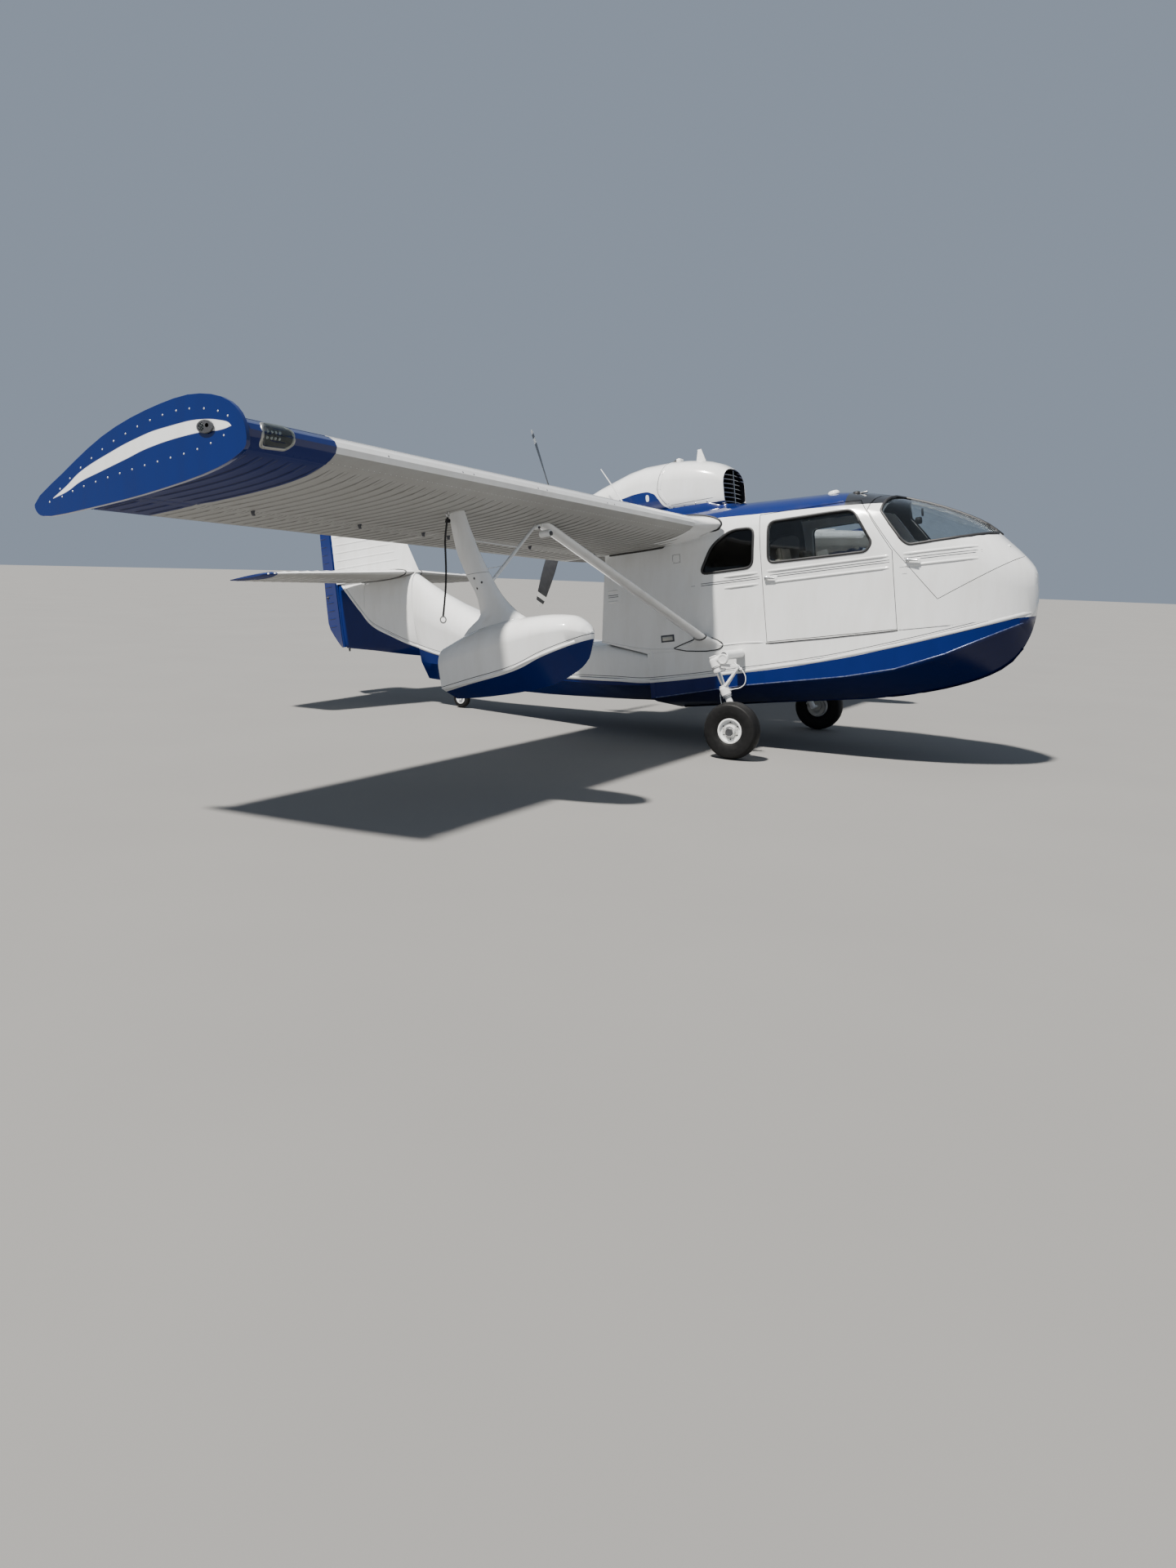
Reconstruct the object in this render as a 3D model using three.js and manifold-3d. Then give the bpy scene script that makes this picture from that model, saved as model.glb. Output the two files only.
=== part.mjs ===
// A four-seat amphibian flying boat, standing on its wheels: stepped hull, high wing on one strut
// a side, a float on a pylon under each wing, and a pusher engine in a pod on the cabin roof.
//
// Lengths are in millimetres. The airframe is drawn in its own level frame: X forward, Y to port,
// Z up, with the origin on the line through the main wheels' ground contacts. A group then pitches
// it nose-up to the attitude in which it parks.

import * as THREE from 'three';
import Module from 'manifold-3d';
import { mergeVertices } from 'three/addons/utils/BufferGeometryUtils.js';

const wasm = await Module();
wasm.setup();

// Driving dimensions. Side cuts run from OUTBOARD to INBOARD of the hull's skin, or to WIDE on both
// sides; TOUCH is the gap between pieces that lie against each other.

const PARKED_PITCH = 0.1502;
const ORIGIN_SHIFT_X = 1957.7;
const SKIN = 45;
const SEAM = 6;
const TOUCH = 0.4;
const OUTBOARD = 760;
const INBOARD = 500;
const WIDE = 800;

const FLOOR_Z = 830;
const SILL_Z = 1030;
const ROOF_SEAM_Z = 2236;
const ROOF_END_X = 1190;
const STEP_X = -1050;

const WING = { leadX: -252, leadZ: 2164, chord: 1662, rootY: 694, tipY: 6455, thick: 0.15,
  incidence: 0.0764, dihedral: 0.0354 };
const SURFACE_AXIS = 0.735;
const FLOAT_Y = 4110;
const STRUT = { footX: -395, footY: 660, footZ: 1086, headX: -700, headY: 3092, headZ: 2125,
  chord: 133, thick: 54 };
const PROP = { x: -2312, z: 2513, radius: 1070, blades: 3, turn: -0.1129 };
const WHEEL_TRACK = 2518;
const TAIL_WHEEL_RADIUS = 115;
const GEAR = { x: -49, z: 950, y: 1050, tubeRadius: 46 };
const TAILPLANE = { halfSpan: 2030, z: 2272, hingeX: -5190 };
const RUDDER_AXIS_X = -5692;

// Colours

function paint(color, roughness, metalness = 0) {
  return new THREE.MeshStandardMaterial({ color, roughness, metalness });
}
const WHITE = paint(0xf1f3f4, 0.25);
const BLUE = paint(0x173f9a, 0.25);
const GLASS = new THREE.MeshStandardMaterial({ color: 0x5d6b70, roughness: 0.05,
  transparent: true, opacity: 0.4 });
const RUBBER = paint(0x1b1b1b, 0.8);
const STEEL = paint(0xb9bcbe, 0.25, 0.9);
const DARK = paint(0x24262a, 0.6);
const SEAT = paint(0x6f6a64, 0.9);

// Solids: joining, cutting and lofting

function toSolid(geometry) {
  const bare = geometry.clone();
  bare.deleteAttribute('normal');
  bare.deleteAttribute('uv');
  const merged = mergeVertices(bare, 1e-3);
  return new wasm.Manifold(new wasm.Mesh({
    numProp: 3,
    vertProperties: new Float32Array(merged.attributes.position.array),
    triVerts: new Uint32Array(merged.index.array),
  }));
}

function toGeometry(solid) {
  const mesh = solid.getMesh();
  const geometry = new THREE.BufferGeometry();
  geometry.setAttribute('position', new THREE.BufferAttribute(mesh.vertProperties, 3));
  geometry.setIndex(new THREE.BufferAttribute(mesh.triVerts, 1));
  geometry.computeVertexNormals();
  return geometry;
}

// A closed body through rings of equal length, each ring a list of Vector3. The second half of
// each ring takes the other diagonal, so that a ring mirrored about its middle gives a mirrored body.
function loft(rings) {
  const count = rings[0].length;
  const positions = rings.flat().flatMap((point) => [point.x, point.y, point.z]);
  const index = [];
  for (let r = 0; r < rings.length - 1; r += 1) {
    for (let i = 0; i < count; i += 1) {
      const j = (i + 1) % count;
      const a = r * count;
      const b = a + count;
      if (i < count / 2) index.push(a + i, a + j, b + i, b + i, a + j, b + j);
      else index.push(a + i, a + j, b + j, a + i, b + j, b + i);
    }
  }
  const last = (rings.length - 1) * count;
  for (let i = 1; i < count - 1; i += 1) {
    index.push(0, i + 1, i);
    index.push(last, last + i, last + i + 1);
  }
  const geometry = new THREE.BufferGeometry();
  geometry.setAttribute('position', new THREE.Float32BufferAttribute(positions, 3));
  geometry.setIndex(index);
  const solid = toSolid(geometry);
  if (solid.volume() > 0) return solid;
  const outward = geometry.clone();
  outward.setIndex(index.map((_, k) => index[k - (k % 3) + [0, 2, 1][k % 3]]));
  return toSolid(outward);
}

// A prism: an outline of [x, z] points seen from the side, between two Y planes.
function sidePrism(outline, y0, y1) {
  const shape = new THREE.Shape(outline.map(([x, z]) => new THREE.Vector2(x, z)));
  const geometry = new THREE.ExtrudeGeometry(shape, { depth: y1 - y0, bevelEnabled: false });
  geometry.rotateX(Math.PI / 2);
  geometry.translate(0, y1, 0);
  return toSolid(geometry);
}

// A prism: an outline of [x, y] points seen from above, between two Z planes.
function planPrism(outline, z0, z1) {
  const shape = new THREE.Shape(outline.map(([x, y]) => new THREE.Vector2(x, y)));
  const geometry = new THREE.ExtrudeGeometry(shape, { depth: z1 - z0, bevelEnabled: false });
  geometry.translate(0, 0, z0);
  return toSolid(geometry);
}

function block(x0, x1, y0, y1, z0, z1) {
  const geometry = new THREE.BoxGeometry(x1 - x0, y1 - y0, z1 - z0);
  geometry.translate((x0 + x1) / 2, (y0 + y1) / 2, (z0 + z1) / 2);
  return toSolid(geometry);
}

function rod(from, to, radius, sides = 12, endRadius = radius) {
  const a = new THREE.Vector3(...from);
  const b = new THREE.Vector3(...to);
  const geometry = new THREE.CylinderGeometry(endRadius, radius, a.distanceTo(b), sides);
  const along = b.clone().sub(a).normalize();
  geometry.applyQuaternion(new THREE.Quaternion().setFromUnitVectors(
    new THREE.Vector3(0, 1, 0), along));
  const mid = a.add(b).multiplyScalar(0.5);
  geometry.translate(mid.x, mid.y, mid.z);
  return toSolid(geometry);
}

// Corners of a polygon turned into short arcs.
function roundCorners(points, radius, steps = 5) {
  const out = [];
  points.forEach(([x, y], i) => {
    const corner = new THREE.Vector2(x, y);
    const before = new THREE.Vector2(...points[(i + points.length - 1) % points.length]);
    const after = new THREE.Vector2(...points[(i + 1) % points.length]);
    const toBefore = before.clone().sub(corner);
    const toAfter = after.clone().sub(corner);
    const reach = Math.min(radius, toBefore.length() / 2.2, toAfter.length() / 2.2);
    const start = corner.clone().add(toBefore.setLength(reach));
    const end = corner.clone().add(toAfter.setLength(reach));
    const curve = new THREE.QuadraticBezierCurve(start, corner, end);
    curve.getPoints(steps).forEach((p) => out.push([p.x, p.y]));
  });
  return out;
}

// A polygon moved inwards by a distance, edge by edge.
function shrink(points, distance) {
  const area = points.reduce((sum, [x, y], i) => {
    const [nx, ny] = points[(i + 1) % points.length];
    return sum + x * ny - nx * y;
  }, 0);
  const side = Math.sign(area);
  const lines = points.map(([x, y], i) => {
    const [nx, ny] = points[(i + 1) % points.length];
    const length = Math.hypot(nx - x, ny - y);
    const inwardX = (-(ny - y) / length) * side;
    const inwardY = ((nx - x) / length) * side;
    return { x: x + inwardX * distance, y: y + inwardY * distance, dx: nx - x, dy: ny - y };
  });
  return lines.map((line, i) => {
    const prev = lines[(i + lines.length - 1) % lines.length];
    const cross = prev.dx * line.dy - prev.dy * line.dx;
    const t = ((line.x - prev.x) * line.dy - (line.y - prev.y) * line.dx) / cross;
    return [prev.x + prev.dx * t, prev.y + prev.dy * t];
  });
}

// The value of each named column at a place along a table's x.
function rowAt(table, x) {
  const sorted = [...table].sort((a, b) => a.x - b.x);
  if (x <= sorted[0].x) return { ...sorted[0], x };
  const upper = sorted.find((row) => row.x >= x) ?? sorted[sorted.length - 1];
  const lower = sorted[Math.max(sorted.indexOf(upper) - 1, 0)];
  const t = upper === lower ? 0 : (x - lower.x) / (upper.x - lower.x);
  const mixed = { x };
  Object.keys(upper).filter((key) => key !== 'x').forEach((key) => {
    mixed[key] = lower[key] + (upper[key] - lower[key]) * t;
  });
  return mixed;
}

// A table with rows added between its own, so that every column runs on a smooth curve that never
// passes beyond its neighbouring rows. Rows are added only from place `from` on.
function smoothRows(table, key, pieces, from = -Infinity) {
  const rows = [...table].sort((a, b) => a[key] - b[key]);
  const columns = Object.keys(rows[0]).filter((name) => name !== key);
  const slopes = columns.map((name) => rows.map((row, i) => {
    const before = rows[i - 1];
    const after = rows[i + 1];
    if (!before) return (after[name] - row[name]) / (after[key] - row[key]);
    if (!after) return (row[name] - before[name]) / (row[key] - before[key]);
    const back = (row[name] - before[name]) / (row[key] - before[key]);
    const ahead = (after[name] - row[name]) / (after[key] - row[key]);
    return back * ahead <= 0 ? 0 : (2 * back * ahead) / (back + ahead);
  }));
  const out = [];
  rows.forEach((row, i) => {
    out.push(row);
    if (i === rows.length - 1 || row[key] < from) return;
    const next = rows[i + 1];
    const gap = next[key] - row[key];
    for (let k = 1; k < pieces; k += 1) {
      const t = k / pieces;
      const added = { [key]: row[key] + gap * t };
      columns.forEach((name, c) => {
        added[name] = (2 * t ** 3 - 3 * t ** 2 + 1) * row[name] + (3 * t ** 2 - 2 * t ** 3) * next[name]
          + (t ** 3 - 2 * t ** 2 + t) * gap * slopes[c][i] + (t ** 3 - t ** 2) * gap * slopes[c][i + 1];
      });
      out.push(added);
    }
  });
  return out;
}

// A closed outline rounded through its points.
function smoothOutline(points, count) {
  const curve = new THREE.CatmullRomCurve3(points.map(([x, y]) => new THREE.Vector3(x, y, 0)), true,
    'centripetal');
  return curve.getPoints(count).slice(0, count).map((p) => [p.x, p.y]);
}

const ARC_STEPS = 9;

// A hull ring: V bottom from keel to chine, a flat side, and a roof that is a rounded box.
function hullRing(row, inset = 0) {
  const shoulder = row.chineZ + (row.roof - row.chineZ) * 0.5;
  const beam = row.beam - inset;
  const half = [[row.chineY - inset, row.chineZ]];
  for (let k = 0; k < ARC_STEPS; k += 1) {
    const angle = (k / ARC_STEPS) * Math.PI / 2;
    const y = beam * Math.cos(angle) ** (2 / row.power);
    const z = shoulder + (row.roof - inset - shoulder) * Math.sin(angle) ** (2 / row.power);
    half.push([y, z]);
  }
  const starboard = half.map(([y, z]) => new THREE.Vector3(row.x, -y, z));
  const port = half.map(([y, z]) => new THREE.Vector3(row.x, y, z)).reverse();
  return [new THREE.Vector3(row.x, 0, row.keel + inset), ...starboard,
    new THREE.Vector3(row.x, 0, row.roof - inset), ...port];
}

// A rounded-box ring across X, from its bottom, top, half width and power; low is the power below.
function podRing(row, inset = 0) {
  const ring = [];
  const midZ = (row.bottom + row.top) / 2;
  const steps = 24;
  for (let k = 0; k < steps; k += 1) {
    const angle = ((k + 0.5) / steps) * Math.PI * 2;
    const cos = Math.cos(angle);
    const sin = Math.sin(angle);
    const power = sin < 0 && row.low ? row.low : row.power;
    const y = Math.sign(cos) * (row.half - inset) * Math.abs(cos) ** (2 / power);
    const z = midZ + Math.sign(sin) * ((row.top - row.bottom) / 2 - inset)
      * Math.abs(sin) ** (2 / power);
    ring.push(new THREE.Vector3(row.x, y, z));
  }
  return ring;
}

// An airfoil outline as fractions of the chord: [aft of the leading edge, above the chord line].
function airfoil(thick, camber, steps = 12) {
  const upper = [];
  const lower = [];
  for (let k = 0; k <= steps; k += 1) {
    const s = 1 - Math.cos((k / steps) * Math.PI / 2);
    const half = 5 * thick * (0.2969 * Math.sqrt(s) - 0.126 * s - 0.3516 * s ** 2
      + 0.2843 * s ** 3 - 0.1015 * s ** 4);
    const mean = 4 * camber * s * (1 - s);
    upper.push([s, mean + half]);
    if (k > 0) lower.push([s, mean - half]);
  }
  return [...upper.reverse(), ...lower];
}

function wingRing(outline, leadX, leadZ, chord, incidence, y) {
  const cos = Math.cos(incidence);
  const sin = Math.sin(incidence);
  return outline.map(([s, t]) => new THREE.Vector3(
    leadX - chord * (s * cos - t * sin), y, leadZ + chord * (t * cos - s * sin)));
}

// The nodes

const airframe = new THREE.Group();
airframe.rotation.y = -PARKED_PITCH;
const portSide = new THREE.Group();
portSide.scale.y = -1;
airframe.add(portSide);

function addMesh(name, solid, material, parent = airframe) {
  const mesh = new THREE.Mesh(toGeometry(solid), material);
  mesh.name = name;
  parent.add(mesh);
  return mesh;
}

// A piece drawn to starboard, and its mirror to port.
function addPair(name, solid, material) {
  addMesh(`${name}_R`, solid, material);
  addMesh(`${name}_L`, solid, material, portSide);
}

// Hull and cabin: stations from the cabin's rear wall to the bow
const FUSELAGE = [
  { x: -1575, keel: 440, chineY: 690, chineZ: 560, beam: 682, roof: 2300, power: 4.2 },
  { x: -1300, keel: 438, chineY: 690, chineZ: 566, beam: 688, roof: 2392, power: 4.5 },
  { x: 0, keel: 418, chineY: 690, chineZ: 634, beam: 690, roof: 2395, power: 4.5 },
  { x: 900, keel: 394, chineY: 690, chineZ: 645, beam: 690, roof: 2352, power: 4.2 },
  { x: 1260, keel: 400, chineY: 672, chineZ: 660, beam: 674, roof: 2290, power: 3.6 },
  { x: 1600, keel: 430, chineY: 630, chineZ: 715, beam: 640, roof: 2180, power: 3.2 },
  { x: 1900, keel: 482, chineY: 560, chineZ: 795, beam: 575, roof: 2045, power: 3.0 },
  { x: 2145, keel: 557, chineY: 455, chineZ: 880, beam: 480, roof: 1899, power: 2.8 },
  { x: 2330, keel: 670, chineY: 335, chineZ: 940, beam: 365, roof: 1712, power: 2.6 },
  { x: 2460, keel: 850, chineY: 195, chineZ: 990, beam: 230, roof: 1566, power: 2.5 },
  { x: 2530, keel: 1060, chineY: 90, chineZ: 1110, beam: 120, roof: 1465, power: 2.4 },
  { x: 2554, keel: 1230, chineY: 30, chineZ: 1250, beam: 45, roof: 1400, power: 2.4 },
];
const NOSE_CURVE_X = 900;
const CAVITY_ENDS = [-1510, 2425];
// Cabin's sloping rear wall from the deck to above the roof: [x, z]
const REAR_WALL = [[-1562, 1192], [-1452, 1930], [-1432, 2500]];
const REAR_WALL_THICK = 24;
const CABIN_ROOM = [[CAVITY_ENDS[0], 300], ...REAR_WALL.map(([x, z]) => [x + REAR_WALL_THICK, z]),
  [2600, 2500], [2600, 300]];
const HULL_ROWS = smoothRows(FUSELAGE, 'x', 3, NOSE_CURVE_X);
const CAVITY_ROWS = [rowAt(HULL_ROWS, CAVITY_ENDS[0]),
  ...HULL_ROWS.filter(({ x }) => x > CAVITY_ENDS[0] && x < CAVITY_ENDS[1]),
  rowAt(HULL_ROWS, CAVITY_ENDS[1])];

const fuselage = loft(HULL_ROWS.map((row) => hullRing(row)));
const cavity = loft(CAVITY_ROWS.map((row) => hullRing(row, SKIN)))
  .intersect(block(-1600, 2600, -WIDE, WIDE, FLOOR_Z, 2600))
  .intersect(sidePrism(CABIN_ROOM, -WIDE, WIDE));
const shell = fuselage.subtract(cavity);

// Outlines on the cabin's side: [x, z]
const CABIN_OUTLINE = [[STEP_X, SILL_Z], [-1500, 1172], ...REAR_WALL, [2600, 2500], [2600, SILL_Z]];
const BOW_SEAM_TOP = [1195, 2172];
const BOW_SEAM_MID = [1435, 1755];
const BOW_SEAM_LOW = [1800, 1262];
const DOOR_OUTLINE = [[225, SILL_Z + 2], [1450, SILL_Z + 2], [1450, 1735], BOW_SEAM_MID, BOW_SEAM_TOP,
  [1165, 2226], [230, 2226]];
const DOOR_WINDOW = [[300, 1765], [1215, 1752], [1272, 1822], [1105, 2140], [320, 2140]];
const QUARTER_WINDOW = [[-405, 1745], [140, 1745], [175, 2110], [-60, 2118], [-260, 2000]];
const WINDSHIELD_SIDE = [[1585, 1764], [2330, 1790], [2600, 1800], [2600, 2500], [1318, 2500],
  [1318, 2135], [1530, 1812]];
const CENTRE_POST_HALF = 24;
const POST_MARGIN = 30;
const BOW_DOOR_SIDE = [BOW_SEAM_TOP, [BOW_SEAM_MID[0] + 12, BOW_SEAM_MID[1]], BOW_SEAM_LOW, [2462, 1560],
  [2700, 1690], [2700, 2500], [1195, 2500]];

// The roof's front seam slants forward from the door posts to the windscreen's centre post.
function aheadOfRoofSeam(shift, innerY) {
  return planPrism([[1195 + shift, -720], [1205 + shift, -640], [1436 + shift, innerY],
    [2700, innerY], [2700, -720]], 1000, 2600);
}

// One half of the windscreen, from the centre post round to the side; gap makes it smaller.
function windscreenOpening(gap) {
  const inner = -CENTRE_POST_HALF - POST_MARGIN;
  const plan = [[1318, -OUTBOARD], [1326, -640], [1450, inner], [2222, inner], [2420, -400],
    [2600, -OUTBOARD]];
  return sidePrism(shrink(roundCorners(WINDSHIELD_SIDE, 60), gap), -OUTBOARD, inner)
    .intersect(planPrism(shrink(plan, gap), 1000, 2600));
}

const doorHole = sidePrism(DOOR_OUTLINE, -OUTBOARD, -INBOARD + SEAM);
const doorBody = sidePrism(shrink(DOOR_OUTLINE, SEAM), -OUTBOARD, -INBOARD);
const doorWindow = roundCorners(DOOR_WINDOW, 70);
const quarterWindow = roundCorners(QUARTER_WINDOW, 80);
const windscreenHole = windscreenOpening(0);
const bowHole = sidePrism(BOW_DOOR_SIDE, -OUTBOARD, -CENTRE_POST_HALF + SEAM)
  .intersect(aheadOfRoofSeam(0, -CENTRE_POST_HALF + SEAM));
const bowBody = sidePrism(shrink(BOW_DOOR_SIDE, SEAM), -OUTBOARD, -CENTRE_POST_HALF)
  .intersect(aheadOfRoofSeam(SEAM * 1.6, -CENTRE_POST_HALF));

function mirrorY(solid) {
  return solid.mirror([0, 1, 0]);
}

function paneIn(hole, depth = 14, thick = 6) {
  const outer = loft(HULL_ROWS.map((row) => hullRing(row, depth)));
  const inner = loft(HULL_ROWS.map((row) => hullRing(row, depth + thick)));
  return outer.subtract(inner).intersect(hole);
}

function buildHull() {
  const tub = shell.intersect(block(STEP_X + TOUCH, 2600, -WIDE, WIDE, 300, SILL_Z));
  addMesh('hull_forebody', tub, WHITE);
}

// Side outline of the fairing that carries the roof down onto the wing's centre section.
const REAR_FAIRING = [[-1457, 2090], [-1457, 2239], [-1430, 2239], [-1430, 2335], [-1520, 2300],
  [-1700, 2172], [-1700, 2090]];

function buildCabin() {
  const rightWindow = sidePrism(quarterWindow, -OUTBOARD, -INBOARD);
  const outline = sidePrism(CABIN_OUTLINE.map(([x, z]) => [x, z + TOUCH]), -WIDE, WIDE);
  const cuts = [doorHole, mirrorY(doorHole), rightWindow, mirrorY(rightWindow), bowHole,
    mirrorY(windscreenHole)];
  const open = cuts.reduce((solid, cut) => solid.subtract(cut), shell.intersect(outline));
  const roofZone = block(-1600, ROOF_END_X, -WIDE, WIDE, ROOF_SEAM_Z, 2600);
  const roofRoom = block(-1600, ROOF_END_X + TOUCH, -WIDE, WIDE, ROOF_SEAM_Z - TOUCH, 2600);
  addMesh('cabin_shell', open.subtract(roofRoom), WHITE);
  const centreWing = loft([-686, 686].map((y) => wingRing(airfoil(WING.thick, 0.022), WING.leadX,
    WING.leadZ + 24, WING.chord, WING.incidence, y)))
    .intersect(block(-2000, REAR_FAIRING[0][0], -WIDE, WIDE, 1900, 2600));
  const fairing = sidePrism(REAR_FAIRING, -686, 686);
  addMesh('cabin_roof', open.intersect(roofZone).add(centreWing).add(fairing), BLUE);
}

function buildCabinDoors() {
  const windowHole = sidePrism(doorWindow, -OUTBOARD, -INBOARD);
  addPair('cabin_door', shell.intersect(doorBody).subtract(windowHole), WHITE);
  const pane = paneIn(sidePrism(shrink(doorWindow, TOUCH), -OUTBOARD, -INBOARD));
  addPair('door_glass', pane, GLASS);
  const quarterPane = paneIn(sidePrism(shrink(quarterWindow, TOUCH), -OUTBOARD, -INBOARD));
  addPair('quarter_glass', quarterPane, GLASS);
}

function buildBowDoor() {
  addMesh('bow_door', shell.intersect(bowBody).subtract(windscreenHole), WHITE);
  const pane = paneIn(windscreenOpening(TOUCH));
  addMesh('bow_door_glass', pane, GLASS);
  addMesh('windscreen_glass', pane, GLASS, portSide);
}

// Afterbody: the planing bottom behind the first step and the deck that rises to the tail
const AFTERBODY = [
  { x: -1050, keel: 492, chineY: 660, chineZ: 712, beam: 688, roof: 1031, power: 9 },
  { x: -1500, keel: 538, chineY: 640, chineZ: 745, beam: 672, roof: 1173, power: 7 },
  { x: -1575, keel: 545, chineY: 632, chineZ: 752, beam: 664, roof: 1193, power: 6 },
  { x: -2090, keel: 604, chineY: 540, chineZ: 820, beam: 590, roof: 1225, power: 4 },
  { x: -2700, keel: 678, chineY: 425, chineZ: 910, beam: 480, roof: 1385, power: 3 },
  { x: -3500, keel: 808, chineY: 285, chineZ: 1035, beam: 340, roof: 1680, power: 2.4 },
  { x: -4050, keel: 915, chineY: 180, chineZ: 1130, beam: 230, roof: 1992, power: 2.2 },
  { x: -4400, keel: 985, chineY: 110, chineZ: 1190, beam: 165, roof: 2250, power: 2.2 },
];
// Tail cone: behind the second step, narrowing to the rudder post
const TAIL_CONE = [
  { x: -4400.4, bottom: 1252, top: 2262, half: 165, power: 2.3 },
  { x: -4700, bottom: 1300, top: 2262, half: 130, power: 2.5 },
  { x: -5200, bottom: 1390, top: 2262, half: 76, power: 3 },
  { x: -5645, bottom: 1462, top: 2262, half: 42, power: 4 },
];

function buildAfterHull() {
  const under = sidePrism([[STEP_X, 400], [-1500, 400], [-4500, 400], [-4500, 2300], [-1562, 2300],
    [-1562, 1192], [-1500, 1172], [STEP_X, SILL_Z]].map(([x, z]) => [x - TOUCH, z]), -WIDE, WIDE);
  addMesh('hull_afterbody', loft(smoothRows(AFTERBODY, 'x', 2).map((row) => hullRing(row))).intersect(under), WHITE);
}

// Engine pod on the roof: a teardrop open at the front, where air comes in through the grille
const POD = [
  { x: -250, bottom: 2404, top: 2786, half: 292, power: 2.3, low: 7 },
  { x: -345, bottom: 2401, top: 2848, half: 318, power: 2.4, low: 7 },
  { x: -520, bottom: 2401, top: 2905, half: 346, power: 2.5, low: 6 },
  { x: -820, bottom: 2401, top: 2944, half: 366, power: 2.6, low: 5 },
  { x: -1120, bottom: 2401, top: 2944, half: 366, power: 2.6, low: 5 },
  { x: -1500, bottom: 2401, top: 2870, half: 330, power: 2.4, low: 4 },
  { x: -1850, bottom: 2395, top: 2770, half: 256, power: 2.3, low: 3 },
  { x: -2120, bottom: 2392, top: 2665, half: 172, power: 2.1, low: 2.1 },
  { x: -2200, bottom: 2405, top: 2615, half: 115, power: 2, low: 2 },
];
const POD_SKIN = 22;
const POD_INNER_END_X = -1850;
const POD_MOUTH_CUT = 60;
const ENGINE = { x0: -1540, x1: -560, half: 232, z0: 2496, z1: 2745 };
const GRILLE = { bars: 7, first: 2452, pitch: 44, thick: 9, depth: 46, bulge: 28, post: 30 };

function podHalfAt(z) {
  const { bottom, top, half, power, low } = POD[0];
  const middle = (bottom + top) / 2;
  const t = Math.min(Math.abs(z - middle) / ((top - bottom) / 2), 0.999);
  const bend = z < middle ? low : power;
  return half * (1 - t ** bend) ** (1 / bend);
}

function buildPod() {
  const rows = smoothRows(POD, 'x', 2);
  const outer = loft(rows.map((row) => podRing(row)));
  const innerRows = rows.filter(({ x }) => x >= POD_INNER_END_X).map((row, i, kept) => podRing(
    { ...row, x: row.x + (i === kept.length - 1 ? POD_MOUTH_CUT : 0) }, POD_SKIN));
  addMesh('engine_pod', outer.subtract(loft(innerRows)), WHITE);
  addMesh('engine_block', block(ENGINE.x0, ENGINE.x1, -ENGINE.half, ENGINE.half, ENGINE.z0, ENGINE.z1)
    .add(rod([ENGINE.x0, 0, PROP.z], [ENGINE.x0 - 180, 0, PROP.z], 60)), DARK);
  const face = POD[0].x - 6;
  let grille = null;
  for (let i = 0; i < GRILLE.bars; i += 1) {
    const z = GRILLE.first + i * GRILLE.pitch;
    const half = podHalfAt(z) - POD_SKIN - 9;
    const bow = new THREE.QuadraticBezierCurve(new THREE.Vector2(face - GRILLE.bulge, -half),
      new THREE.Vector2(face + GRILLE.bulge, 0), new THREE.Vector2(face - GRILLE.bulge, half));
    const front = bow.getPoints(8).map((p) => [p.x, p.y]);
    const back = front.map(([px, py]) => [px - GRILLE.depth, py]).reverse();
    const bar = planPrism([...front, ...back], z, z + GRILLE.thick);
    grille = grille ? grille.add(bar) : bar;
  }
  const lowZ = GRILLE.first;
  const highZ = GRILLE.first + (GRILLE.bars - 1) * GRILLE.pitch + GRILLE.thick;
  const post = block(face - GRILLE.post, face - 6, -7, 7, lowZ, highZ);
  addMesh('intake_grille', grille.add(post), DARK);
}

// Pusher propeller: a hub on the crankshaft line and three blades, one body
const BLADE = [
  { r: 60, chord: 70, thick: 46, twist: 0.9 },
  { r: 250, chord: 128, thick: 30, twist: 0.75 },
  { r: 600, chord: 150, thick: 17, twist: 0.5 },
  { r: 900, chord: 128, thick: 11, twist: 0.36 },
  { r: 1040, chord: 96, thick: 8, twist: 0.3 },
  { r: 1070, chord: 52, thick: 6, twist: 0.28 },
];
const BLADE_OUTLINE = [[0.5, 0], [0.46, 0.18], [0.3, 0.42], [0.1, 0.5], [-0.12, 0.46], [-0.35, 0.25],
  [-0.5, 0], [-0.3, -0.12], [0, -0.16], [0.3, -0.14], [0.46, -0.08]];

function buildPropeller() {
  const blade = loft(smoothRows(BLADE, 'r', 2).map(({ r, chord, thick, twist }) => BLADE_OUTLINE.map(([c, t]) => {
    const across = c * chord;
    const along = t * thick;
    return new THREE.Vector3(across * Math.sin(twist) - along * Math.cos(twist), r,
      across * Math.cos(twist) + along * Math.sin(twist));
  })));
  let propeller = rod([80, 0, 0], [-70, 0, 0], 82, 20).add(rod([-69, 0, 0], [-165, 0, 0], 70, 20, 26));
  for (let i = 0; i < PROP.blades; i += 1) {
    const turn = PROP.turn + (i * 2 * Math.PI) / PROP.blades;
    propeller = propeller.add(blade.rotate([THREE.MathUtils.radToDeg(turn), 0, 0]));
  }
  addMesh('propeller', propeller.translate([PROP.x, 0, PROP.z]), DARK);
}

// Wings: one straight panel a side with flap and aileron on round noses about their hinge lines
const SPAN_PARTS = [
  { name: 'flap', y0: 760, y1: 3430 },
  { name: 'aileron', y0: 3450, y1: 6160 },
];
const WING_NOSE = 66;
const WING_LIP = 32;
const NOSE_GAP = 8;
const END_GAP = 9;

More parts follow.
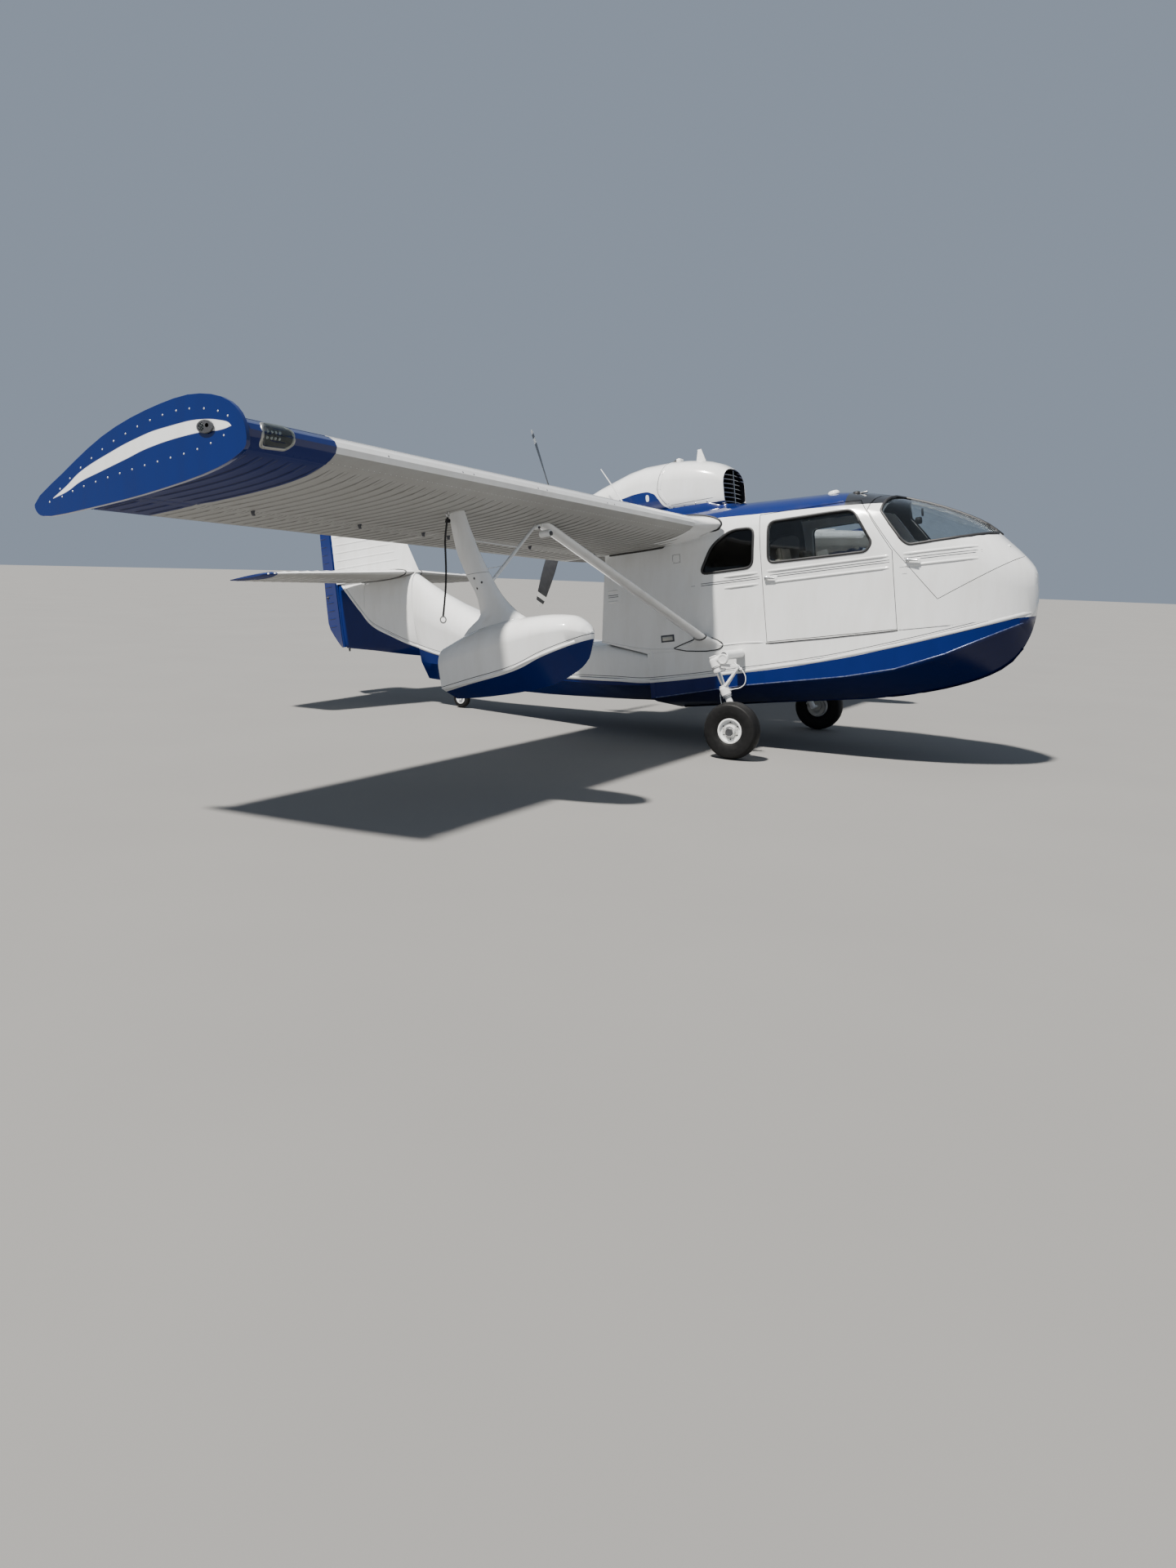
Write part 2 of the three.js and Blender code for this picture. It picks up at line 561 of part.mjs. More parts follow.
function surfaceAxis(leadX, leadZ, chord, incidence, part, camber) {
  const mean = 4 * camber * part * (1 - part);
  return { x: leadX - chord * (part * Math.cos(incidence) - mean * Math.sin(incidence)),
    z: leadZ + chord * (mean * Math.cos(incidence) - part * Math.sin(incidence)) };
}

const CAMBER = 0.022;
const WING_OUTLINE = airfoil(WING.thick, CAMBER);

function wingPanel(y0, y1, lift = 0) {
  return loft([-y1, -y0].map((y) => wingRing(WING_OUTLINE, WING.leadX, WING.leadZ + lift,
    WING.chord, WING.incidence, y)));
}

function buildWings() {
  const axis = surfaceAxis(WING.leadX, WING.leadZ, WING.chord, WING.incidence, SURFACE_AXIS, CAMBER);
  const whole = wingPanel(WING.rootY + 2, WING.tipY);
  const nose = (y0, y1, grow) => rod([axis.x, -y1 - grow, axis.z], [axis.x, -y0 + grow, axis.z],
    WING_NOSE + (grow > 0 ? NOSE_GAP : 0), 32);
  const opening = SPAN_PARTS.map(({ y0, y1 }) => nose(y0, y1, END_GAP)
    .add(block(axis.x - 900, axis.x + WING_LIP, -y1 - END_GAP, -y0 + END_GAP, axis.z - 400, axis.z + 400)))
    .reduce((sum, part) => sum.add(part));
  const wedge = [[axis.x, axis.z + WING_NOSE], [axis.x - 900, axis.z + WING_NOSE],
    [axis.x - 900, axis.z - WING_NOSE - 90], [axis.x, axis.z - WING_NOSE]];
  const surfaces = SPAN_PARTS.map(({ name, y0, y1 }) => ({ name,
    solid: whole.intersect(nose(y0, y1, 0).add(sidePrism(wedge, -y1, -y0))) }));
  return { panel: whole.subtract(opening), surfaces };
}

// Both wings share one drawing, tilted up by the dihedral about the centre line.
function tiltGroup(parent) {
  const tilt = new THREE.Group();
  tilt.position.z = WING.leadZ;
  tilt.rotation.x = -WING.dihedral;
  parent.add(tilt);
  return tilt;
}
const rightWing = tiltGroup(airframe);
const leftWing = tiltGroup(portSide);

function addWingPair(name, solid, material) {
  const hung = solid.translate([0, 0, -WING.leadZ]);
  addMesh(`${name}_R`, hung, material, rightWing);
  addMesh(`${name}_L`, hung, material, leftWing);
}

function tilted(solid) {
  return solid.translate([0, 0, -WING.leadZ])
    .rotate([THREE.MathUtils.radToDeg(-WING.dihedral), 0, 0]).translate([0, 0, WING.leadZ]);
}

// Wing-end plate, seen from the side: [x, z] at the tip
const TIP_PLATE = [[-232, -90], [-238, 40], [-330, 150], [-560, 226], [-900, 224], [-1300, 160],
  [-1700, 20], [-2005, -118], [-1985, -170], [-1930, -196], [-1500, -212], [-950, -206],
  [-480, -172], [-300, -130]];

const TIP_PLATE_POINTS = 44;

// Airfoil-shaped strut between two points, its chord along X
function fairedTube(from, to, chord, thick) {
  const a = new THREE.Vector3(...from);
  const b = new THREE.Vector3(...to);
  const along = b.clone().sub(a).normalize();
  const forward = new THREE.Vector3(1, 0, 0).addScaledVector(along, -along.x).normalize();
  const across = along.clone().cross(forward);
  const upper = [[0.5, 0], [0.47, 0.17], [0.4, 0.31], [0.29, 0.43], [0.14, 0.5], [-0.02, 0.48],
    [-0.2, 0.38], [-0.36, 0.22], [-0.5, 0.05]];
  const outline = [...upper, ...upper.slice(1).reverse().map(([c, t]) => [c, -t])];
  return loft([a, b].map((end) => outline.map(([c, t]) => end.clone()
    .addScaledVector(forward, c * chord).addScaledVector(across, t * thick))));
}

// Tip float: stations from nose to transom
const FLOAT_TRANSOM_X = -892;
const FLOAT_ROWS = [
  { x: 298, keel: 1172, chineY: 18, chineZ: 1202, beam: 26, roof: 1240, power: 2 },
  { x: 256, keel: 1062, chineY: 84, chineZ: 1176, beam: 100, roof: 1304, power: 2 },
  { x: 160, keel: 985, chineY: 142, chineZ: 1156, beam: 158, roof: 1364, power: 2.1 },
  { x: -50, keel: 905, chineY: 184, chineZ: 1106, beam: 202, roof: 1388, power: 2.2 },
  { x: -350, keel: 868, chineY: 200, chineZ: 1026, beam: 218, roof: 1384, power: 2.3 },
  { x: -680, keel: 856, chineY: 192, chineZ: 970, beam: 208, roof: 1322, power: 2.3 },
  { x: FLOAT_TRANSOM_X, keel: 860, chineY: 172, chineZ: 948, beam: 184, roof: 1248, power: 2.4 },
];
// Pylon: level slices from the wing down into the float's deck
const PYLON_ROWS = [
  { z: 2260, front: -668, rear: -790, half: 30 },
  { z: 1940, front: -575, rear: -755, half: 34 },
  { z: 1735, front: -492, rear: -688, half: 38 },
  { z: 1560, front: -400, rear: -612, half: 46 },
  { z: 1445, front: -300, rear: -600, half: 70 },
  { z: 1350, front: -180, rear: -720, half: 110 },
  { z: 1250, front: -120, rear: -820, half: 120 },
];
const BRACE = { low: [-484, -4080, 1678], high: [-671, -3151, 2130], radius: 13 };

function buildWingSet() {
  const { panel, surfaces } = buildWings();
  addWingPair('wing', panel, WHITE);
  surfaces.forEach(({ name, solid }) => addWingPair(name, solid, WHITE));
  const plate = sidePrism(smoothOutline(TIP_PLATE, TIP_PLATE_POINTS).map(([x, z]) => [x, z + WING.leadZ]),
    -WING.tipY - 26, -WING.tipY - TOUCH);
  addWingPair('wing_end_plate', plate, BLUE);

  const panelRoom = tilted(wingPanel(WING.rootY, WING.tipY, -TOUCH)
    .add(wingPanel(WING.rootY, WING.tipY)));
  const hullRoom = fuselage.scale([1, (FUSELAGE[2].beam + TOUCH) / FUSELAGE[2].beam, 1]);
  const strut = fairedTube([STRUT.footX, -STRUT.footY, STRUT.footZ],
    [STRUT.headX, -STRUT.headY, STRUT.headZ + 60], STRUT.chord, STRUT.thick);
  addPair('lift_strut', strut.subtract(panelRoom).subtract(hullRoom), WHITE);

  const float = loft(smoothRows(FLOAT_ROWS, 'x', 3).map((row) => hullRing(row))).translate([0, -FLOAT_Y, 0]);
  addPair('tip_float', float, WHITE);
  const pylon = loft(smoothRows(PYLON_ROWS, 'z', 3).map(({ z, front, rear, half }) => {
    const middle = (front + rear) / 2;
    const reach = (front - rear) / 2;
    const side = [[1, 0], [0.94, 0.34], [0.8, 0.64], [0.56, 0.9], [0.26, 1], [-0.1, 0.96], [-0.45, 0.74],
      [-0.76, 0.4], [-1, 0.1]];
    const outline = [...side, ...side.slice(1).reverse().map(([c, t]) => [c, -t])];
    return outline.map(([c, t]) => new THREE.Vector3(middle + c * reach, t * half - FLOAT_Y, z));
  }));
  const brace = rod(BRACE.low, BRACE.high, BRACE.radius, 8);
  const floatRoom = float.add(float.translate([0, 0, TOUCH]));
  const strutRoom = [-TOUCH, 0, TOUCH].map((shift) => strut.translate([0, shift, -Math.abs(shift)]))
    .reduce((sum, part) => sum.add(part));
  const carried = pylon.add(brace).subtract(panelRoom).subtract(floatRoom).subtract(strutRoom);
  addPair('float_pylon', largest(carried), WHITE);
}

function largest(solid) {
  return solid.decompose().sort((a, b) => b.volume() - a.volume())[0];
}

// Tail: fin above the cone, tailplane and elevator across it, rudder on its post
const FIN_ROWS = [
  { z: 2262.6, lead: -4362, half: 64 },
  { z: 2900, lead: -4615, half: 56 },
  { z: 3170, lead: -4745, half: 48 },
  { z: 3235, lead: -4860, half: 34 },
  { z: 3255, lead: -5000, half: 20 },
];
const RUDDER_ROWS = [
  { z: 1475, trail: -5735, half: 30 },
  { z: 1560, trail: -5800, half: 38 },
  { z: 1800, trail: -5918, half: 40 },
  { z: 2450, trail: -5895, half: 40 },
  { z: 3050, trail: -5868, half: 36 },
  { z: 3200, trail: -5840, half: 28 },
  { z: 3255, trail: -5770, half: 18 },
];
const RUDDER_NOSE = 40;
const TAIL_FOIL = airfoil(0.095, 0, 7);
const TAILPLANE_ROWS = [
  { y: TAILPLANE.halfSpan, lead: -4870, trail: -5360, thick: 0.5 },
  { y: 1960, lead: -4790, trail: -5440, thick: 0.9 },
  { y: 1300, lead: -4665, trail: -5500, thick: 1 },
  { y: 0, lead: -4410, trail: -5612, thick: 1 },
];
const ELEVATOR = { nose: 40, inner: 84, outer: 1985, tube: 22 };

function buildTail() {
  const fin = loft(smoothRows(FIN_ROWS, 'z', 2).map(({ z, lead, half }) => {
    const chord = lead - RUDDER_AXIS_X;
    const outline = [[0, 0], [0.03, 0.4], [0.12, 0.78], [0.35, 1], [0.7, 0.86], [1, 0.62],
      [1, -0.62], [0.7, -0.86], [0.35, -1], [0.12, -0.78], [0.03, -0.4]];
    return outline.map(([c, t]) => new THREE.Vector3(lead - c * chord, t * half, z));
  }));
  const rudderRoom = rod([RUDDER_AXIS_X, 0, 1300], [RUDDER_AXIS_X, 0, 3400], RUDDER_NOSE + NOSE_GAP, 20)
    .add(block(-6200, RUDDER_AXIS_X, -200, 200, 1300, 3400));
  const wedge = loft(smoothRows(RUDDER_ROWS, 'z', 3).map(({ z, trail, half }) => [
    [RUDDER_AXIS_X, half], [trail, 5], [trail, -5], [RUDDER_AXIS_X, -half]]
    .map(([x, y]) => new THREE.Vector3(x, y, z))));
  const nose = rod([RUDDER_AXIS_X, 0, RUDDER_ROWS[0].z], [RUDDER_AXIS_X, 0, 3250], 30, 20);
  addMesh('rudder', wedge.add(nose), BLUE);

  const span = smoothRows(TAILPLANE_ROWS, 'y', 2).reverse();
  const rings = [...span.map((row) => ({ ...row, y: -row.y })), ...span.slice(0, -1).reverse()];
  const whole = loft(rings.map(({ y, lead, trail, thick }) => wingRing(
    TAIL_FOIL.map(([s, t]) => [s, t * thick]), lead, TAILPLANE.z, lead - trail, 0, y)));
  const axis = { x: TAILPLANE.hingeX, z: TAILPLANE.z };
  const zone = (y0, y1, grow) => block(-6000, axis.x + grow, y0 - grow, y1 + grow, 2000, 2500)
    .add(rod([axis.x, y0 - grow, axis.z], [axis.x, y1 + grow, axis.z],
      ELEVATOR.nose + (grow > 0 ? NOSE_GAP : 0), 20));
  const fixedPlane = whole.subtract(zone(-ELEVATOR.outer, ELEVATOR.outer, 8));
  addMesh('tailplane', fixedPlane, WHITE);

  const halves = [[-ELEVATOR.outer, -ELEVATOR.inner], [ELEVATOR.inner, ELEVATOR.outer]]
    .map(([y0, y1]) => whole.intersect(zone(y0, y1, 0)));
  const tube = rod([axis.x, -ELEVATOR.inner - 20, axis.z], [axis.x, ELEVATOR.inner + 20, axis.z],
    ELEVATOR.tube, 12);
  addMesh('elevator', halves[0].add(halves[1]).add(tube), WHITE);

  const slot = block(axis.x - 62, axis.x + 62, -300, 300, axis.z - 62, axis.z + 62);
  const planeRoom = [-TOUCH, 0, TOUCH].map((lift) => fixedPlane.translate([0, 0, lift]))
    .reduce((sum, part) => sum.add(part)).add(slot).add(rudderRoom);
  addMesh('fin', fin.subtract(planeRoom), WHITE);
  addMesh('tail_cone', loft(smoothRows(TAIL_CONE, 'x', 2).map((row) => podRing(row))).subtract(planeRoom), WHITE);
}

// Main gear: a cross tube from the hull side, a leg hanging from its end, and an oil-spring strut
// whose lower housing carries the axle inboard of the wheel. The leg's line is given by two points.
const LEG_LINE = { topX: -170, topZ: 905, lowX: -64, lowZ: 560 };
const LEG = { capZ: 938, upperEndZ: 812, pistonLowZ: 650, lowerTopZ: 672, upperRadius: 40,
  pistonRadius: 23, lowerRadius: 42, shankRadius: 31, axleRadius: 19, linkRadius: 12 };
const AXLE = { x: 40, z: 264 };
const TORQUE_LINK = [[-112, 866], [72, 834], [-62, 672]];

function legPoint(z, y) {
  const t = (z - LEG_LINE.topZ) / (LEG_LINE.lowZ - LEG_LINE.topZ);
  return [LEG_LINE.topX + t * (LEG_LINE.lowX - LEG_LINE.topX), y, z];
}

function buildMainGear() {
  const y = -GEAR.y;
  const wheelY = -WHEEL_TRACK / 2;
  const fixed = (grow) => rod([GEAR.x, -(FUSELAGE[2].beam + 1), GEAR.z], [GEAR.x, y - 50, GEAR.z],
    GEAR.tubeRadius + grow, 16)
    .add(rod([GEAR.x, y, GEAR.z], [LEG_LINE.topX, y, LEG_LINE.topZ], 34 + grow, 12))
    .add(rod(legPoint(LEG.capZ, y), legPoint(LEG.upperEndZ - grow, y), LEG.upperRadius + grow, 16));
  addPair('gear_leg', fixed(0), WHITE);
  const moving = [
    rod(legPoint(LEG.upperEndZ, y), legPoint(LEG.pistonLowZ, y), LEG.pistonRadius, 14),
    rod(legPoint(LEG.lowerTopZ, y), legPoint(LEG_LINE.lowZ, y), LEG.lowerRadius, 16),
    rod(legPoint(LEG_LINE.lowZ + 15, y), [AXLE.x, y, AXLE.z], LEG.shankRadius, 12),
    rod([AXLE.x, y + 34, AXLE.z], [AXLE.x, wheelY - 66, AXLE.z], LEG.axleRadius, 14),
    ...[0, 1].map((i) => rod([TORQUE_LINK[i][0], y, TORQUE_LINK[i][1]],
      [TORQUE_LINK[i + 1][0], y, TORQUE_LINK[i + 1][1]], LEG.linkRadius, 8)),
  ].reduce((sum, piece) => sum.add(piece));
  addPair('gear_oleo', largest(moving.subtract(fixed(TOUCH))), STEEL);
}

const TYRE_PROFILE = [[118, -60], [150, -78], [205, -86], [245, -74], [262, -44], [267, 0],
  [262, 44], [245, 74], [205, 86], [150, 78], [118, 60]];
const RIM_PROFILE = [[22, -48], [44, -64], [60, -40], [98, -38], [104, -62], [117.6, -60],
  [117.6, 60], [104, 62], [98, 30], [60, 34], [44, 60], [22, 60]];

function turned(profile, sides) {
  const points = [...profile, profile[0]].map(([r, a]) => new THREE.Vector2(r, a));
  return toSolid(new THREE.LatheGeometry(points, sides));
}

function buildMainWheels() {
  const place = [AXLE.x, -WHEEL_TRACK / 2, AXLE.z];
  addPair('main_tyre', turned(TYRE_PROFILE, 30).translate(place), RUBBER);
  addPair('main_rim', turned(RIM_PROFILE, 30).translate(place), WHITE);
}

// Tail gear stands plumb under the afterbody, so it is drawn in the parked frame
const TAIL_GEAR = { postX: -3930, wheelX: -4003, crownZ: 243, crownTop: 254, postTop: 281 };

function buildTailGear() {
  const upright = new THREE.Group();
  upright.rotation.y = PARKED_PITCH;
  airframe.add(upright);
  const { postX, wheelX, crownZ, crownTop, postTop } = TAIL_GEAR;
  const crown = rod([postX, 0, crownZ], [postX, 0, crownTop], 44, 20)
    .add(rod([postX, 0, crownZ], [postX, 0, postTop], 22, 16));
  const plate = block(wheelX - 20, postX, -50, 50, crownZ, crownTop);
  const cheek = (y0, y1) => sidePrism([[wheelX - 22, 96], [wheelX + 22, 96],
    [postX, crownZ + 4], [wheelX - 20, crownZ + 4]], y0, y1);
  const axle = rod([wheelX, -54, TAIL_WHEEL_RADIUS], [wheelX, 54, TAIL_WHEEL_RADIUS], 8, 12);
  addMesh('tail_fork', crown.add(plate).add(cheek(-50, -43)).add(cheek(43, 50)).add(axle), WHITE,
    upright);
  const tyre = turned([[9, -26], [36, -26], [60, -30], [94, -30], [110, -18], [115, 0], [110, 18],
    [94, 30], [60, 30], [36, 26], [9, 26]], 24).translate([wheelX, 0, TAIL_WHEEL_RADIUS]);
  addMesh('tail_wheel', tyre, RUBBER, upright);
}

// Cabin fittings: two front seats, a bench behind, and the panel with its control wheel
const FRONT_SEAT = [[330, 980], [860, 1020], [880, 1180], [450, 1160], [390, 1850], [270, 1840],
  [270, 1120]];
const BENCH = [[-900, 980], [-360, 1010], [-350, 1150], [-790, 1130], [-930, 1800], [-1050, 1790],
  [-980, 1100]];
const SEAT_FOOT_Z = FLOOR_Z + 1;
const SEAT_PAN_Z = 1000;
const PANEL = { front: 1540, rear: 1500, right: -180, left: 470, lowZ: 1330, topZ: 1712 };
const CONTROL = { x: 1300, y: 330, z: 1500, columnZ: 1420, radius: 125, rim: 12, tube: 16, lean: 21 };

function buildCabinFittings() {
  const seat = sidePrism(FRONT_SEAT, -560, -90)
    .add(block(380, 800, -520, -130, SEAT_FOOT_Z, SEAT_PAN_Z));
  addPair('front_seat', seat, SEAT);
  const bench = sidePrism(BENCH, -580, 580).add(block(-900, -420, -540, 540, SEAT_FOOT_Z, SEAT_PAN_Z));
  addMesh('rear_bench', bench, SEAT);
  const board = block(PANEL.rear, PANEL.front, PANEL.right, PANEL.left, PANEL.lowZ, PANEL.topZ);
  const foot = block(PANEL.rear + 5, PANEL.front, 60, 200, SEAT_FOOT_Z, PANEL.lowZ + 10);
  const centre = [CONTROL.x, CONTROL.y, CONTROL.z];
  const column = rod([PANEL.rear + 5, CONTROL.y, CONTROL.columnZ], centre, CONTROL.tube, 10);
  const wheel = toSolid(new THREE.TorusGeometry(CONTROL.radius, CONTROL.rim, 8, 20))
    .rotate([0, 90, 0]).rotate([0, CONTROL.lean, 0]).translate(centre);
  const reach = CONTROL.radius - CONTROL.rim + 2;
  const spoke = rod([CONTROL.x, CONTROL.y - reach, CONTROL.z], [CONTROL.x, CONTROL.y + reach, CONTROL.z],
    10, 8);
  addMesh('instrument_panel', board.add(foot).add(column).add(wheel).add(spoke), DARK);
}

// Tie-down ring under each wing; from the starboard one a rope hangs plumb and ends in an eye
const RING = { x: -726, y: 4200, z: 2164, radius: 17, wire: 4 };
const ROPE = { radius: 7, sides: 8, steps: 30, eye: 20, eyeWire: 5 };
const ROPE_ROUTE = [[-731, -4201, 2141], [-748, -4206, 2075], [-767, -4211, 1986], [-773, -4217, 1883],
  [-781, -4223, 1769], [-796, -4229, 1656], [-820, -4234, 1543], [-838, -4239, 1462]];

function buildRope() {
  const ring = toSolid(new THREE.TorusGeometry(RING.radius, RING.wire, 6, 14))
    .rotate([0, 90, 0]).translate([RING.x, -RING.y, RING.z])
    .add(rod([RING.x, -RING.y, RING.z + RING.radius], [RING.x, -RING.y, RING.z + 60], 4, 8));
  const wingRoom = tilted(wingPanel(WING.rootY, WING.tipY, -TOUCH)
    .add(wingPanel(WING.rootY, WING.tipY)));
  addPair('tie_down_ring', largest(ring.subtract(wingRoom)), STEEL);

  const curve = new THREE.CatmullRomCurve3(ROPE_ROUTE.map((p) => new THREE.Vector3(...p)));
  const section = new THREE.Shape(Array.from({ length: ROPE.sides }, (_, k) => {
    const angle = (k / ROPE.sides) * Math.PI * 2;
    return new THREE.Vector2(ROPE.radius * Math.cos(angle), ROPE.radius * Math.sin(angle));
  }));
  const tube = new THREE.ExtrudeGeometry(section, { steps: ROPE.steps, bevelEnabled: false,
    extrudePath: curve });
  addMesh('tie_down_rope', toSolid(tube), RUBBER);
  const [endX, endY, endZ] = ROPE_ROUTE[ROPE_ROUTE.length - 1];
  const eye = toSolid(new THREE.TorusGeometry(ROPE.eye, ROPE.eyeWire, 6, 14)).rotate([90, 0, 30])
    .translate([endX - 4, endY, endZ - ROPE.eye - ROPE.eyeWire - 1.2]);
  addMesh('rope_eye', eye, STEEL);
}

buildHull();
buildCabin();
buildCabinDoors();
buildBowDoor();
buildAfterHull();
buildPod();
buildPropeller();
buildWingSet();
buildTail();
buildMainGear();
buildMainWheels();
buildTailGear();
buildCabinFittings();
buildRope();

const group = new THREE.Group();
group.add(airframe);
airframe.position.x = ORIGIN_SHIFT_X;

export default group;
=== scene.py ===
import math

import bmesh
import bpy
from mathutils import Matrix, Vector
from mathutils.bvhtree import BVHTree


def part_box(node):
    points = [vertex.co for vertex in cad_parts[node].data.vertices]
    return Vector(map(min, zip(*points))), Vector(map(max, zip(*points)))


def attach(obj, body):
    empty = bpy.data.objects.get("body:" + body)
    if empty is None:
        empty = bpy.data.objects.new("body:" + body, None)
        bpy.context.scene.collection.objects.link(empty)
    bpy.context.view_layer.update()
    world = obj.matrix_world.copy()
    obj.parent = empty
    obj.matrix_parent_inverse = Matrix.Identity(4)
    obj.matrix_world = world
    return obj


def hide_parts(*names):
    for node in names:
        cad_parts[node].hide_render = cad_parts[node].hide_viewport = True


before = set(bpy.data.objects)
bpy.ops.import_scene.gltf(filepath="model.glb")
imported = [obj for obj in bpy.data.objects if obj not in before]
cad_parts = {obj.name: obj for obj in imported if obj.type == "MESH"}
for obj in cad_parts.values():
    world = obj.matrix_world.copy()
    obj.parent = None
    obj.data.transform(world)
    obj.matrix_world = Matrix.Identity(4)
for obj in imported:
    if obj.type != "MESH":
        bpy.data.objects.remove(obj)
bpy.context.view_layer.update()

# The view from beside the starboard wing tip, at standing eye height, with a phone's wide lens.
# The boat is drawn level, nose along X and port along Y, and then tipped back on its tail wheel.
PARKED_PITCH = 0.1502
WHEEL_LINE_SHIFT = 1.9577
tip_back = (Matrix.Translation((WHEEL_LINE_SHIFT, 0, 0)) @ Matrix.Rotation(-PARKED_PITCH, 4, "Y"))
make_level = tip_back.inverted()

EYE_PLACE = (5.730, -10.538, 1.682)
EYE_YAW = 29.64
EYE_DOWN = 11.177
EYE_ROLL = 1.833
LENS = 24.96


def new_object(name, data):
    made_object = bpy.data.objects.new(name, data)
    bpy.context.scene.collection.objects.link(made_object)
    return made_object


camera = new_object("camera", bpy.data.cameras.new("camera"))
camera.data.lens = LENS
camera.data.sensor_width = 36
camera.data.clip_end = 400
camera.matrix_world = (Matrix.Translation(EYE_PLACE) @ Matrix.Rotation(math.radians(EYE_YAW), 4, "Z") @
                       Matrix.Rotation(math.radians(90 - EYE_DOWN), 4, "X") @
                       Matrix.Rotation(math.radians(EYE_ROLL), 4, "Z"))
bpy.context.scene.camera = camera


def new_material(name, colour, roughness, metallic=0.0, coat=0.0):
    material = bpy.data.materials.new(name)
    material.use_nodes = True
    shader = material.node_tree.nodes["Principled BSDF"]
    shader.inputs["Base Color"].default_value = (*colour, 1)
    shader.inputs["Roughness"].default_value = roughness
    shader.inputs["Metallic"].default_value = metallic
    shader.inputs["Coat Weight"].default_value = coat
    shader.inputs["Coat Roughness"].default_value = 0.06
    return material, material.node_tree, shader


def plug(tree, target, value):
    if isinstance(value, bpy.types.NodeSocket):
        tree.links.new(value, target)
    else:
        target.default_value = value


def calc(tree, operation, first, second=0.0, third=None, clamp=False):
    node = tree.nodes.new("ShaderNodeMath")
    node.operation = operation
    node.use_clamp = clamp
    plug(tree, node.inputs[0], first)
    plug(tree, node.inputs[1], second)
    if third is not None:
        plug(tree, node.inputs[2], third)
    return node.outputs[0]


def times(tree, first, second):
    return calc(tree, "MULTIPLY", first, second)


def minus(tree, first, second):
    return calc(tree, "SUBTRACT", first, second)


def noise(tree, place, scale, detail=3.0, roughness=0.5):
    node = tree.nodes.new("ShaderNodeTexNoise")
    tree.links.new(place, node.inputs["Vector"])
    node.inputs["Scale"].default_value = scale
    node.inputs["Detail"].default_value = detail
    node.inputs["Roughness"].default_value = roughness
    return node.outputs["Fac"]


def between(tree, value, low, high, to_low=0.0, to_high=1.0):
    node = tree.nodes.new("ShaderNodeMapRange")
    plug(tree, node.inputs["Value"], value)
    for name, number in (("From Min", low), ("From Max", high), ("To Min", to_low), ("To Max", to_high)):
        plug(tree, node.inputs[name], number)
    return node.outputs["Result"]


def blend_colour(tree, share, first, second):
    node = tree.nodes.new("ShaderNodeMix")
    node.data_type = "RGBA"
    plug(tree, node.inputs[0], share)
    plug(tree, node.inputs[6], first if isinstance(first, bpy.types.NodeSocket) else (*first, 1))
    plug(tree, node.inputs[7], second if isinstance(second, bpy.types.NodeSocket) else (*second, 1))
    return node.outputs[2]


def object_place(tree):
    return tree.nodes.new("ShaderNodeTexCoord").outputs["Object"]


def add_bump(tree, shader, height, depth, strength=1.0):
    node = tree.nodes.new("ShaderNodeBump")
    node.inputs["Strength"].default_value = strength
    node.inputs["Distance"].default_value = depth
    plug(tree, node.inputs["Height"], height)
    tree.links.new(node.outputs["Normal"], shader.inputs["Normal"])


def mottled(name, colour, dark, light, roughness, spots, metallic=0.0, rough=None, spread=(0.3, 0.8),
            bump=None):
    """A material that a noise of (scale, detail, roughness) runs from a dark to a light shade, and
    from one roughness to another; bump is (spots, depth, strength) of a fine relief."""
    material, tree, shader = new_material(name, colour, roughness, metallic)
    share = noise(tree, object_place(tree), *spots)
    plug(tree, shader.inputs["Base Color"], blend_colour(tree, share, dark, light))
    if rough:
        plug(tree, shader.inputs["Roughness"], between(tree, share, *spread, *rough))
    if bump:
        fine, depth, strength = bump
        add_bump(tree, shader, noise(tree, object_place(tree), *fine), depth, strength)
    return material


# Floor and light: a plain pale floor that runs out to a pale horizon, one broad warm key high on
# the starboard side, and soft cool light from all round.
FLOOR_REACH = 240
bpy.ops.object.select_all(action="DESELECT")
bpy.ops.mesh.primitive_plane_add(size=FLOOR_REACH, location=(0, 0, -0.001))
floor = bpy.context.object
floor.name = "floor"
floor_material = mottled("pale_floor", (0.4, 0.39, 0.375), (0.195, 0.191, 0.184), (0.22, 0.216, 0.207), 0.9,
                         (0.6, 6))
floor.data.materials.append(floor_material)

world = bpy.context.scene.world or bpy.data.worlds.new("studio")
bpy.context.scene.world = world
world.use_nodes = True
world.node_tree.nodes["Background"].inputs["Color"].default_value = (0.62, 0.74, 0.92, 1)
world.node_tree.nodes["Background"].inputs["Strength"].default_value = 0.42

KEY_TRAVEL = Vector((0.12, 0.51, -1.0))
key = new_object("key_light", bpy.data.lights.new("key_light", "SUN"))
key.data.energy = 9.2
key.data.angle = math.radians(3.5)
key.data.color = (1.0, 0.96, 0.9)
key.rotation_euler = KEY_TRAVEL.to_track_quat("-Z", "Y").to_euler()


# The tie-down rope: three black twisted strands, tied to the ring under the starboard wing with
# a knot, hanging plumb beside the pylon and ending in a pale thimble eye.
ROPE_ROUTE = ((-731, -4201, 2141), (-748, -4206, 2075), (-767, -4211, 1986), (-773, -4217, 1883),
              (-781, -4223, 1769), (-796, -4229, 1656), (-820, -4234, 1543), (-838, -4239, 1462))
ROPE_RADIUS = 0.007
STRAND_RADIUS = 0.0041
ROPE_LAY = 0.042
ROPE_STEPS = 190


def select_only(piece):
    bpy.ops.object.select_all(action="DESELECT")
    piece.select_set(True)
    bpy.context.view_layer.objects.active = piece


def shade_smooth(degrees):
    bpy.ops.object.shade_smooth_by_angle(angle=math.radians(degrees))


def level_point(x, y, z):
    return tip_back @ Vector((x, y, z))


